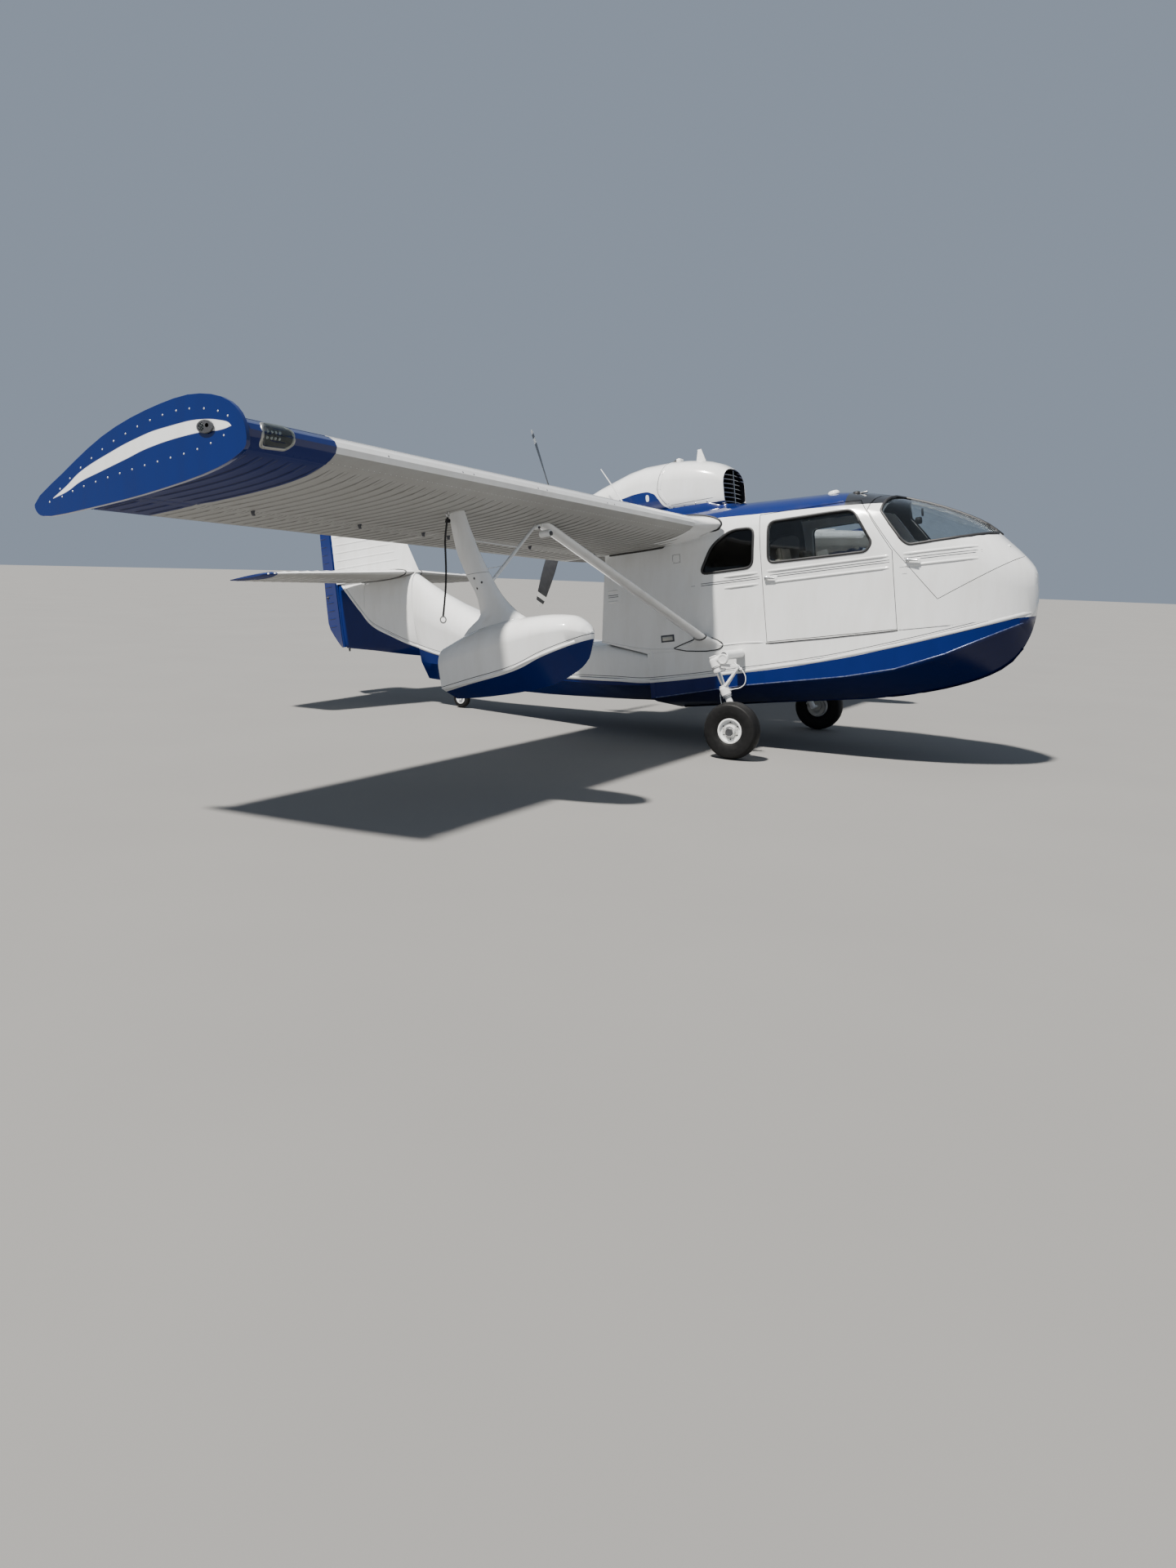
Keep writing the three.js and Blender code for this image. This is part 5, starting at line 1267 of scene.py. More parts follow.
crown_z = drop_on(pod_shape, [(-0.87, 0, 3.2)], (0, 0, -1))[0][0].z
scoop = squeeze(boxed((0.17, 0.1, 0.066), (-0.885, -0.02, crown_z + 0.005), 0.014), lambda at: at.x < -0.93,
                (1, 0.6, 0.2), (-0.96, -0.02, crown_z - 0.03))
fit("crown_scoop", [scoop], sooty_metal, "dark_metal")
lip = boxed((0.05, 0.106, 0.05), (-0.812, -0.02, crown_z + 0.012), 0.018)
fit("scoop_lip", [lip], gloss_white, "white_paint")

# The cowling's slanted seam with its strap, screws and side latches.
SEAM_LINE = ((2.45, -0.80), (2.52, -0.87), (2.6, -0.925), (2.66, -0.935), (2.78, -0.91), (2.95, -0.86))


def seam_x(z):
    for (z0, x0), (z1, x1) in zip(SEAM_LINE, SEAM_LINE[1:]):
        if z <= z1:
            return x0 + (x1 - x0) * max(z - z0, 0) / (z1 - z0)
    return SEAM_LINE[-1][1]


def pod_ring(shift, count=46):
    """Places round the pod along the cowling's slanted seam, from one side's foot to the other."""
    ring = []
    for k in range(count + 1):
        turn = math.radians(130) * (2 * k / count - 1)
        heading = Vector((0, -math.sin(turn), -math.cos(turn)))
        x = seam_x(POD_AXIS_Z)
        for _ in range(3):
            place, normal, _, _ = pod_shape.ray_cast(
                Vector((x, 0, POD_AXIS_Z)) - heading * 0.9, heading, 0.9)
            if place is None:
                break
            x = seam_x(place.z) + shift
        if place is not None:
            ring.append((place, normal if normal.dot(heading) < 0 else -normal))
    return ring


lay_strips("cowling_seam", [pod_ring(0)], 0.006, 0.0016, dark_line, "panel_black")
lay_strips("cowling_strap", [pod_ring(0.022)], 0.034, 0.0022, pod_paint, "white_paint")
screws = [spot for shift in (0.012, 0.034) for spot in pod_ring(shift)[3:-3:4]]
finish(studs("cowling_screws", screws, 0.005, 0.0026), bright_metal, "bright_steel")
SIDE_SEAM = ((-0.33, 2.497), (-0.6, 2.49), (-0.8, 2.487))
lay_strips("cowling_side_seam", side_lines(pod_shape, SIDE_SEAM), 0.005, 0.0014, dark_line, "panel_black")
latches = [spot for run in side_lines(pod_shape, ((-0.42, 2.47), (-0.78, 2.462)), 0.12) for spot in run]
finish(studs("cowling_latches", latches, 0.009, 0.003), bright_metal, "bright_steel")

# Propeller: three dark metal blades with white bands at the tips, on a plain hub.
PROP = {"x": -2.312, "z": 2.513}
BLADE_BANDS = ((0.93, 0.985), (1.03, 1.08))
prop_paint, tree, shader = new_material("blade_paint", (0.05, 0.052, 0.056), 0.35, metallic=0.3)
level = use_group(tree, level_group)
radius = calc(tree, "SQRT", calc(tree, "ADD", calc(tree, "POWER", level["Y"], 2.0), calc(
    tree, "POWER", calc(tree, "ABSOLUTE", minus(tree, level["Z"], PROP["z"])), 2.0)))
colour = blend_colour(tree, noise(tree, object_place(tree), 24, 4), (0.035, 0.036, 0.04),
                      (0.075, 0.077, 0.08))
for low, high in BLADE_BANDS:
    band = times(tree, above(tree, radius, low), minus(tree, 1.0, above(tree, radius, high)))
    colour = blend_colour(tree, band, colour, (0.7, 0.7, 0.68))
plug(tree, shader.inputs["Base Color"], colour)
add_bump(tree, shader, noise(tree, object_place(tree), 60, 3), 0.0006, 0.5)
skin("propeller", "blade_grey", prop_paint, "propeller", edge=0.0015, sharp=40)
nut = turned(((0.03, 0), (0.03, 0.02), (0.02, 0.03), (0.012, 0.045)), 24, (PROP["x"] - 0.164, 0, PROP["z"]),
             (-1, 0, 0))
fit("propeller_nut", [nut], bright_metal, "bright_steel", "propeller")

# Wings: riveted aluminium skins stiffened by beads pressed along the chord, white with blue outer
# ends; one smooth sheet wraps the leading edge. The beads are laid on top and bottom.
WING_BLUE = ((-2.0, 5.76), (-1.32, 5.78), (-0.25, 5.79))
BEAD_PITCH = 0.108
WING_BEAD = (0.036, 0.0065)
WING_BEAD_FROM, WING_BEAD_TO = -0.40, -1.40
# Surfaces facing down are painted darker: painted shade under the wings and tail.
UNDERSIDE_SHADE = 0.78
UNDERSIDE_ROUGH = 0.6


def tip_colours(name, edge_points, first_bead=0, bead_pitch=0):
    """White skin that turns blue outboard of a line drawn over the chord, with painted shade: dark
    lines beside its beads and a darker underside."""
    material, tree, shader = new_material(name, WHITE, 0.2, coat=0.6)
    level = use_group(tree, level_group)
    out = calc(tree, "ABSOLUTE", level["Y"])
    facing = tree.nodes.new("ShaderNodeSeparateXYZ")
    tree.links.new(tree.nodes.new("ShaderNodeTexCoord").outputs["Normal"], facing.inputs[0])
    below = between(tree, facing.outputs["Z"], -0.35, -0.75)
    # Painted shade: faces that point down are darkened towards a dull grey.
    white = blend_colour(tree, times(tree, below, UNDERSIDE_SHADE), WHITE, (0.2, 0.196, 0.182))
    colour = blend_colour(tree, above(tree, out, line_height(tree, level["X"], edge_points)), white, BLUE)
    if bead_pitch:
        # Painted shadow: a dark line beside each bead, stronger on the underside.
        off_bead = calc(tree, "PINGPONG", minus(tree, out, first_bead), bead_pitch / 2)
        bead_shadow = near(tree, off_bead, 0.017, 0.0042)
        behind = above(tree, WING_BEAD_FROM, level["X"], 0.02)
        bead_shadow = times(tree, bead_shadow, behind)
        colour = tint(tree, times(tree, bead_shadow, between(tree, below, 0, 1, 0.22, 0.62)), colour,
                      (0.16, 0.155, 0.14))
    paint_over(tree, shader, colour)
    dull = calc(tree, "MAXIMUM", shader.inputs["Roughness"].links[0].from_socket,
                times(tree, below, UNDERSIDE_ROUGH))
    plug(tree, shader.inputs["Roughness"], dull)
    plug(tree, shader.inputs["Coat Weight"], between(tree, below, 0, 1, 0.6, 0))
    shader.inputs["Specular IOR Level"].default_value = 0.25
    return material


wing_paint = tip_colours("wing_paint", WING_BLUE, 0.83, BEAD_PITCH)
for node in ("wing_R", "wing_L", "aileron_R", "aileron_L", "flap_R", "flap_L"):
    skin(node, "white_paint", wing_paint, "airframe" if node.startswith("wing") else node,
         edge=0.0015, sharp=24)


def over_and_under(shape, points, middle_z=2.2):
    """The (x, y) points dropped on the underside and on the top of a wing: a run for each."""
    return [drop_on(shape, [(x, y, middle_z + up * 0.9) for x, y in points], (0, 0, -up)) for up in (-1, 1)]


def chord_beads(name, node, body, span, ys, material, bead, middle_z=2.2):
    """Pressed beads along the chord, above and below, at each of the stations ys."""
    shape = level_shape(node)
    runs = []
    for y in ys:
        line = [(span[0] + (span[1] - span[0]) * m / 9, y) for m in range(10)]
        runs += [run for run in over_and_under(shape, line, middle_z) if len(run) > 3]
    lay_strips(name, runs, *bead, material, "white_paint", body)


def stations(side, first, last, pitch):
    return [side * (first + pitch * k) for k in range(int((last - first) / pitch + 0.001) + 1)]


for side, hand in SIDES:
    for surface, span, first, last in (("wing", (WING_BEAD_FROM, WING_BEAD_TO), 0.83, 6.40),
                                       ("flap", (-1.54, -1.85), 0.83, 3.40),
                                       ("aileron", (-1.54, -1.85), 3.53, 6.13)):
        node = f"{surface}_{hand}"
        chord_beads(f"{surface}_beads_{hand}", node, "airframe" if surface == "wing" else node, span,
                    stations(side, first, last, BEAD_PITCH), wing_paint, WING_BEAD)

# Wing fastenings: the leading edge sheet's lap with its rivets, paired dark screws on the nose,
# and hinge lugs with bolts under the trailing edge.
LAP_X = -0.345
NOSE_SCREWS = (5.35, 4.62, 4.5, 3.72, 3.6, 2.7, 2.58)
HINGES = (("aileron", (3.62, 4.35, 5.36)), ("flap", (0.95, 2.1, 3.3)))
for side, hand in SIDES:
    wing_shape = level_shape("wing_" + hand)
    laps = over_and_under(wing_shape, [(LAP_X, side * (1.1 + 0.1 * k)) for k in range(54)])
    lap_rivets = []
    for shift in (0.008, -0.008):
        line = [(LAP_X + shift, side * (1.1 + 0.05 * k)) for k in range(107)]
        lap_rivets += sum(over_and_under(wing_shape, line), [])
    lay_strips("nose_sheet_lap_" + hand, laps, 0.03, 0.0016, wing_paint, "white_paint")
    finish(studs("nose_sheet_rivets_" + hand, lap_rivets, 0.003, 0.0028, 6), wing_paint, "white_paint")
    screws = drop_on(wing_shape, [(0, side * y, 2.175 + 0.0354 * y) for y in NOSE_SCREWS], (-1, 0, 0))
    finish(studs("nose_screws_" + hand, screws, 0.006, 0.002), dark_line, "panel_black")
    for surface, spots in HINGES:
        lugs, bolts = [], []
        for y in spots:
            (seat, _), = drop_on(wing_shape, [(-1.405, side * y, 1.3)], (0, 0, 1))
            lug = boxed((0.045, 0.007, 0.034), seat + Vector((-0.006, 0, -0.008)), 0.003)
            lugs.append(squeeze(lug, lambda at, low=seat.z - 0.014: at.z < low, (0.5, 1, 1),
                                tuple(seat + Vector((-0.018, 0, -0.02)))))
            bolts.append(turned(((0.007, -0.009), (0.007, 0.009), (0.005, 0.011)), 10,
                                seat + Vector((-0.014, 0, -0.015)), (0, 1, 0)))
        fit(f"{surface}_hinge_lugs_{hand}", lugs, dark_line, "dark_metal")
        fit(f"{surface}_hinge_bolts_{hand}", bolts, dark_line, "dark_metal")

# Wing end plates: upswept plates, blue with a white swoosh and a line of light rivets on the outer
# face, and a navigation light on an oval base.
SWOOSH_TOP = ((-1.823, 2.285), (-1.697, 2.329), (-1.532, 2.394), (-1.292, 2.444), (-1.065, 2.479),
              (-0.851, 2.495), (-0.648, 2.494), (-0.519, 2.481), (-0.397, 2.453), (-0.345, 2.434),
              (-0.322, 2.412))
SWOOSH_LOW = ((-1.823, 2.283), (-1.705, 2.299), (-1.545, 2.339), (-1.387, 2.36), (-1.157, 2.39),
              (-0.937, 2.418), (-0.716, 2.426), (-0.532, 2.421), (-0.39, 2.407), (-0.322, 2.412))
PLATE_FACE_Y = 6.484
end_paint, tree, shader = new_material("end_plate_paint", BLUE, 0.2, coat=0.6)
level = use_group(tree, level_group)
under = above(tree, line_height(tree, level["X"], SWOOSH_TOP), level["Z"], 0.002)
over = above(tree, level["Z"], line_height(tree, level["X"], SWOOSH_LOW), 0.002)
swoosh = times(tree, under, over)
for edge, sign in ((SWOOSH_TOP[0][0], 1), (SWOOSH_TOP[-1][0], -1)):
    inside = above(tree, times(tree, level["X"], sign), sign * edge, 0.002)
    swoosh = times(tree, swoosh, inside)
outer_face = above(tree, calc(tree, "ABSOLUTE", level["Y"]), PLATE_FACE_Y - 0.05)
swoosh = times(tree, swoosh, outer_face)
paint_over(tree, shader, blend_colour(tree, swoosh, BLUE, WHITE))
shader.inputs["Specular IOR Level"].default_value = 0.3
EDGE_RIVETS = ((-0.335, 2.413), (-0.34, 2.464), (-0.406, 2.501), (-0.505, 2.532),
               (-0.613, 2.553), (-0.714, 2.562), (-0.822, 2.561), (-0.924, 2.553), (-1.03, 2.54),
               (-1.133, 2.521), (-1.237, 2.501), (-1.34, 2.475), (-1.441, 2.444), (-1.545, 2.409),
               (-1.65, 2.368), (-1.75, 2.325), (-1.86, 2.268),
               (-0.383, 2.375), (-0.483, 2.354), (-0.587, 2.342), (-0.692, 2.337), (-0.797, 2.335),
               (-0.902, 2.333), (-1.007, 2.331), (-1.112, 2.328), (-1.217, 2.324), (-1.322, 2.319),
               (-1.429, 2.313), (-1.536, 2.306), (-1.64, 2.295), (-1.74, 2.28))
light_rivet = mottled("light_rivet", (0.6, 0.62, 0.65), (0.5, 0.52, 0.55), (0.78, 0.8, 0.82), 0.3,
                      (200, 2), 0.5)
lens_glass, tree, shader = new_material("lens_glass", (0.7, 0.74, 0.72), 0.03)
shader.inputs["IOR"].default_value = 1.15
shader.inputs["Transmission Weight"].default_value = 1.0
plug(tree, shader.inputs["Roughness"], between(
    tree, noise(tree, object_place(tree), 30, 2), 0.3, 0.8, 0.02, 0.09))
dark_fitting = mottled("dark_fitting", (0.06, 0.062, 0.066), (0.03, 0.031, 0.034), (0.13, 0.132, 0.14), 0.4,
                       (160, 4, 0.7), 0.4, (0.28, 0.6))
NAV_LIGHT = {"x": -0.501, "z": 2.444}
NAV_OVALS = ((40, ((1.0, -0.004), (1.0, 0.0015), (0.93, 0.0035), (0.86, 0.0035)), 0.062, 0.034, 0, 0),
             (32, ((1.0, -0.002), (1.0, 0.0045), (0.9, 0.005), (0.5, 0.0055)), 0.026, 0.021, 0.018,
              0.004), (32, ((1.0, -0.003), (1.0, 0.0035), (0.85, 0.0048), (0.4, 0.0055)), 0.024, 0.024,
                       -0.024, -0.002))
for side, hand in SIDES:
    node = "wing_end_plate_" + hand
    skin(node, "white_paint", end_paint, edge=0.002)
    plate_shape = level_shape(node)
    rivets = drop_on(plate_shape, [(x, side * (PLATE_FACE_Y + 0.3), z) for x, z in EDGE_RIVETS],
                     (0, -side, 0))
    finish(studs("end_rivets_" + hand, rivets, 0.0056, 0.0022), light_rivet, "bright_steel")
    seat = Vector((NAV_LIGHT["x"], side * (PLATE_FACE_Y - 0.002), NAV_LIGHT["z"]))
    put = Matrix.Translation(seat) @ Matrix.Rotation(math.radians(9), 4, "Y")
    ovals = []
    for sides, profile, half_x, half_z, x, z in NAV_OVALS:
        oval = turned(profile, sides, (0, 0, 0), (0, side, 0))
        oval.data.transform(put @ Matrix.Translation((x, 0, z)) @ Matrix.Diagonal((half_x, 1, half_z, 1)))
        ovals.append(oval)
    base, cap, glass = ovals
    ends = [turned(((0.0055, 0), (0.0055, 0.005), (0.003, 0.0058)), 12, (x, side * 0.001, 0), (0, side, 0))
            for x in (-0.05, 0.052)]
    for screw in ends:
        screw.data.transform(put)
    fit("nav_light_base_" + hand, [base], dark_fitting, "dark_metal")
    fit("nav_light_cap_" + hand, [cap, *ends], bright_metal, "bright_steel")
    fit("nav_light_lens_" + hand, [glass], lens_glass, "window")

# Landing lights: in the blue nose near each tip a row of lamps sits behind a clear cover, in a
# riveted aluminium bezel with round corners.
LAMP = {"y": 6.222, "z": 2.383, "half_y": 0.108, "half_z": 0.058, "corner": 0.045, "bezel": 0.022}


def round_frame(half_y, half_z, corner, count=10):
    spots = []
    for centre_y, centre_z, start in ((1, 1, 0), (-1, 1, 90), (-1, -1, 180), (1, -1, 270)):
        for k in range(count + 1):
            turn = math.radians(start + 90 * k / count)
            spots.append((centre_y * (half_y - corner) + corner * math.cos(turn),
                          centre_z * (half_z - corner) + corner * math.sin(turn)))
    return spots


for side, hand in SIDES:
    wing_shape = level_shape("wing_" + hand)
    lamp_y = side * LAMP["y"]

    def on_nose(dy, dz):
        (seat, normal), = drop_on(wing_shape, [(0, lamp_y + dy, LAMP["z"] + dz)], (-1, 0, 0))
        return seat, normal

    rim = [on_nose(y, z) for y, z in round_frame(LAMP["half_y"], LAMP["half_z"], LAMP["corner"])]
    lay_strips("lamp_bezel_" + hand, [rim], LAMP["bezel"], 0.006, bare_plate, "bright_steel", closed=True)
    finish(studs("lamp_screws_" + hand, [(p + n * 0.005, n) for p, n in rim[::4]], 0.0035, 0.0014),
           dark_line, "dark_metal")
    for label, lift, material, slot in (("back", 0.0015, dark_line, "dark_metal"),
                                        ("cover", 0.0125, lens_glass, "window")):
        outline = round_frame(LAMP["half_y"] - 0.008, LAMP["half_z"] - 0.008, LAMP["corner"] - 0.008)
        rings = []
        for share in (1.0, 0.75, 0.5, 0.25):
            landed = [on_nose(y * share, z * share) for y, z in outline]
            rings.append([p + n * lift for p, n in landed])
        patch = loft(f"lamp_{label}_{hand}", rings, caps=(-1,))
        if patch.data.polygons[-1].normal.x < 0:
            patch.data.flip_normals()
        apply_modifier(patch, "SOLIDIFY", thickness=0.0012)
        shade_smooth(40)
        finish(patch, material, slot)
    lamps = []
    for column in range(4):
        for z in (0.008, -0.02):
            seat, normal = on_nose(side * (0.078 - column * 0.028), z)
            lamps.append(turned(((0.0085, 0.001), (0.0085, 0.005), (0.007, 0.006), (0.004, 0.0032),
                                 (0.0025, 0.005)), 16, seat, normal))
    fit("landing_lamps_" + hand, lamps, bright_metal, "bright_steel")

# Wing struts: white fairing-section tubes from the hull's side to the wing. A bolted eye takes the
# load at the head, and a sheet fairing edged with black rubber closes the foot against the hull.
STRUT = {"foot": (-0.395, 0.66, 1.086), "head": (-0.70, 3.092, 2.125), "chord": 0.133, "thick": 0.054}
STRUT_SECTION = ((0.5, 0), (0.47, 0.17), (0.4, 0.31), (0.29, 0.43), (0.14, 0.5), (-0.02, 0.48),
                 (-0.2, 0.38), (-0.36, 0.22), (-0.5, 0.05))
FOOT_LINE = ((-0.22, 1.05), (-0.235, 1.075), (-0.275, 1.1), (-0.325, 1.122), (-0.40, 1.136), (-0.511, 1.13),
             (-0.62, 1.1), (-0.755, 1.058), (-0.62, 1.022), (-0.511, 1.01), (-0.40, 1.001),
             (-0.29, 1.006), (-0.238, 1.024))
FOOT_RISE = 0.145
FOOT_RINGS = 9
for node in ("lift_strut_R", "lift_strut_L"):
    skin(node, "white_paint", gloss_white, edge=0.001)
for side, hand in SIDES:
    foot = Vector((STRUT["foot"][0], side * STRUT["foot"][1], STRUT["foot"][2]))
    head = Vector((STRUT["head"][0], side * STRUT["head"][1], STRUT["head"][2]))
    along_strut = (head - foot).normalized()
    forward = (Vector((1, 0, 0)) - along_strut * along_strut.x).normalized()
    upward = along_strut.cross(forward) * (-side)
    if upward.z < 0:
        upward = -upward
    upper = [(c, t) for c, t in STRUT_SECTION]
    section = upper + [(c, -t) for c, t in upper[::-1][:-1]]
    collar_at = foot + along_strut * FOOT_RISE
    collar = even_loop([collar_at + forward * (c * (STRUT["chord"] + 0.008))
                        + upward * (t * (STRUT["thick"] + 0.008)) for c, t in section], 44)
    hull_line = even_loop([Vector((x, side * 0.5, z)) for x, z in FOOT_LINE], 44)
    seats = drop_on(hull_shape, [(p.x, side * 1.0, p.z) for p in hull_line], (0, -side, 0))
    base = [place for place, _ in seats]
    rings = [base]
    for j in range(1, FOOT_RINGS + 1):
        share = j / FOOT_RINGS
        settle = along_strut * (FOOT_RISE - 0.02) * (1 - share)
        rings.append([low.lerp(high - settle, 1 - (1 - share) ** 2.1) for low, high in zip(base, collar)])
    fairing = loft("strut_foot_fairing_" + hand, rings, 50)
    finish(fairing, gloss_white, "white_paint")
    foot_seal = [(p + n * 0.002, n) for p, n in seats]
    head_seal = [(p, (p - collar_at - along_strut * (p - collar_at).dot(along_strut)).normalized())
                 for p in collar]
    lay_strips("strut_foot_seal_" + hand, [foot_seal], 0.011, 0.006, black_rubber, "tyre_black",
               closed=True)
    lay_strips("strut_collar_seal_" + hand, [head_seal], 0.013, 0.005, black_rubber, "tyre_black",
               closed=True)
    eye_at = Vector((-0.665, side * 3.085, 2.113))
    brace_at = Vector((-0.655, side * 3.178, 2.130))
    ahead = (1, 0, 0)
    eyes = [turned(((0.024, -0.05), (0.028, -0.046), (0.028, 0.04), (0.025, 0.044)), 28, eye_at, ahead),
            turned(((0.016, -0.02), (0.018, -0.018), (0.018, 0.016), (0.016, 0.018)), 24, brace_at, ahead),
            boxed((0.06, 0.012, 0.06), eye_at + Vector((0, 0, 0.035)), 0.004)]
    fit("strut_head_eyes_" + hand, eyes, gloss_white, "white_paint")
    bolts = [turned(((0.018, -0.056), (0.018, 0.05), (0.012, 0.054)), 16, eye_at, ahead),
             turned(((0.010, -0.026), (0.010, 0.023), (0.007, 0.026)), 12, brace_at, ahead)]
    fit("strut_head_bolts_" + hand, bolts, dark_fitting, "dark_metal")

# Float pylons: a white blade of sheet that flares into the float's deck, with a joint line, three
# dark bolts where its foot is bolted on, and a doubler strip behind the nose.
PYLON_JOINT_Z = 1.735
PYLON_BOLTS = ((-0.60, 1.70), (-0.535, 1.665), (-0.588, 1.628))


def settle_ring(shape, ring, across):
    """A closed line laid on a shape, with normals that point away from the line's middle."""
    centre = sum(ring, Vector()) / len(ring)
    landed = []
    for spot in ring:
        place, normal, _, _ = shape.find_nearest(spot)
        outward = (spot - centre) * Vector(across)
        landed.append((place, normal if normal.dot(outward) > 0 else -normal))
    return landed


for side, hand in SIDES:
    node = "float_pylon_" + hand
    skin(node, "white_paint", gloss_white, edge=0.001)
    pylon_shape = level_shape(node)
    joint = even_loop(cut_loop(node, (0, 0, PYLON_JOINT_Z), (0, 0, 1)), 40)
    lay_strips("pylon_joint_" + hand, [settle_ring(pylon_shape, joint, (1, 1, 0))], 0.0028, 0.0008,
               dark_line, "panel_black", closed=True)
    bolts = sum(both_faces(pylon_shape, PYLON_BOLTS, side * 4.11, 0.4), [])
    finish(studs("pylon_bolts_" + hand, bolts, 0.0095, 0.004), dark_fitting, "dark_metal")
    strips = both_faces(pylon_shape, along(((-0.60, 2.02), (-0.535, 1.76)), 0.03), side * 4.11, 0.4)
    lay_strips("pylon_doubler_" + hand, strips, 0.007, 0.0018, gloss_white, "white_paint")

# Floats: blue below an edge that drops aft, white above it, with one fine dark line over a raised
# white strip.
FLOAT_EDGE = ((-1.031, 0.901), (-0.65, 0.961), (-0.262, 1.025), (-0.009, 1.107), (0.30, 1.19))
float_paint, tree, shader = new_material("float_paint", WHITE, 0.2, coat=0.6)
level = use_group(tree, level_group)
line = line_height(tree, level["X"], FLOAT_EDGE)
colour = blend_colour(tree, above(tree, level["Z"], line), BLUE, WHITE)
fine = near(tree, level["Z"], calc(tree, "ADD", line, 0.036), 0.0026)
colour = blend_colour(tree, fine, colour, LINE_DARK)
paint_over(tree, shader, colour)
plug(tree, shader.inputs["Coat Weight"], between(tree, above(tree, level["Z"], line), 0, 1, 0.0, 0.6))
shader.inputs["Specular IOR Level"].default_value = 0.14
for side, hand in SIDES:
    node = "tip_float_" + hand
    skin(node, "white_paint", float_paint, edge=0.002, sharp=28)
    float_shape = level_shape(node)
    strip_line = [(x, z + 0.014) for x, z in along(FLOAT_EDGE, 0.04)][2:-2]
    strips = both_faces(float_shape, strip_line, side * 4.11, 0.7)
    lay_strips("float_rub_strips_" + hand, strips, 0.02, 0.005, gloss_white, "white_paint")

# Tail: fin and stabiliser of beaded sheet, blue at the stabiliser's tips, and an all-blue rudder.
TAIL_BLUE = ((-6.6, 1.86), (-4.5, 1.9))
# The tail's underside is painted darker as shade, as under the wings.
tail_paint = tip_colours("tail_paint", TAIL_BLUE)
rudder_paint, tree, shader = new_material("rudder_paint", BLUE, 0.2, coat=0.6)
paint_over(tree, shader, BLUE)
shader.inputs["Specular IOR Level"].default_value = 0.3
TAIL_SKINS = (("fin", "airframe", "white_paint", gloss_white),
              ("rudder", "rudder", "blue_paint", rudder_paint),
              ("tailplane", "airframe", "white_paint", tail_paint),
              ("elevator", "elevator", "white_paint", tail_paint))
for node, body, slot, material in TAIL_SKINS:
    skin(node, slot, material, body, edge=0.002, sharp=26)


def upright_beads(name, node, body, slot, rows, material, bead):
    """Pressed beads on both faces of an upright surface: rows of (height, from x, to x)."""
    shape = level_shape(node)
    runs = []
    for z, x0, x1 in rows:
        line = [(x0 + (x1 - x0) * m / 10, z) for m in range(11)]
        runs += [run for run in both_faces(shape, line, 0, 0.6) if len(run) > 3]
    lay_strips(name, runs, *bead, material, slot, body)


TAIL_BEAD = (0.02, 0.0045)
FIN_ROWS = [(2.45 + 0.097 * k, -4.62 - 0.052 * k, -5.62 - 0.004 * k) for k in range(9)]
upright_beads("fin_beads", "fin", "airframe", "white_paint", FIN_ROWS, gloss_white, TAIL_BEAD)
RUDDER_ROWS = [(1.75 + 0.1 * k, -5.76, -5.99) for k in range(16)]
upright_beads("rudder_beads", "rudder", "rudder", "blue_paint", RUDDER_ROWS, rudder_paint, TAIL_BEAD)
for side, hand in SIDES:
    chord_beads("tailplane_beads_" + hand, "tailplane", "airframe", (-4.72, -5.14),
                stations(side, 0.25, 1.9, 0.15), tail_paint, TAIL_BEAD, 2.27)
    chord_beads("elevator_beads_" + hand, "elevator", "elevator", (-5.27, -5.5),
                stations(side, 0.25, 1.9, 0.15), tail_paint, TAIL_BEAD, 2.27)
    root = even_loop(cut_loop("tailplane", (0, side * 0.15, 0), (0, 1, 0)), 60)
    tail_shape = level_shape("tailplane")
    ring = settle_ring(tail_shape, root, (1, 0, 1))
    lay_strips("tailplane_root_rubber_" + hand, [ring], 0.024, 0.008, black_rubber, "tyre_black",
               closed=True)
    tips = drop_on(tail_shape, [(-4.7, side * y, 2.272) for y in (1.93, 1.99)], (-1, 0, 0))
    finish(studs("tail_tip_lights_" + hand, tips, 0.013, 0.009, 12), light_rivet, "bright_steel")

# Tail fittings: a moulded strip down each side of the tail cone, a steel drain knob under its heel
# and a small cable horn on the rudder's side.
cone_shape = level_shape("tail_cone")
strips = both_faces(cone_shape, [(-5.2 - 0.035 * k / 12, 2.225 - 0.335 * k / 12) for k in range(13)], 0,
                    1.0)
lay_strips("tail_cone_strips", strips, 0.02, 0.007, gloss_white, "white_paint")
(heel, _), = drop_on(cone_shape, [(-5.62, 0, 0.8)], (0, 0, 1))
knob = turned(((0.016, -0.004), (0.016, 0.004), (0.01, 0.01), (0.014, 0.024), (0.009, 0.034)), 20, heel,
              (0, 0, -1))
fit("heel_knob", [knob], dark_fitting, "dark_metal")
horns = [turned(((0.015, -0.002), (0.015, 0.004), (0.008, 0.009), (0.008, 0.02), (0.005, 0.024)), 16, *spot)
         for face in both_faces(level_shape("rudder"), [(-5.86, 2.12)], 0, 0.6) for spot in face]
fit("rudder_horns", horns, dark_fitting, "dark_metal", "rudder")

# Tie-down rings: a plain steel ring under each wing.
for node in ("tie_down_ring_R", "tie_down_ring_L"):
    skin(node, "bright_steel", bright_metal, edge=0)

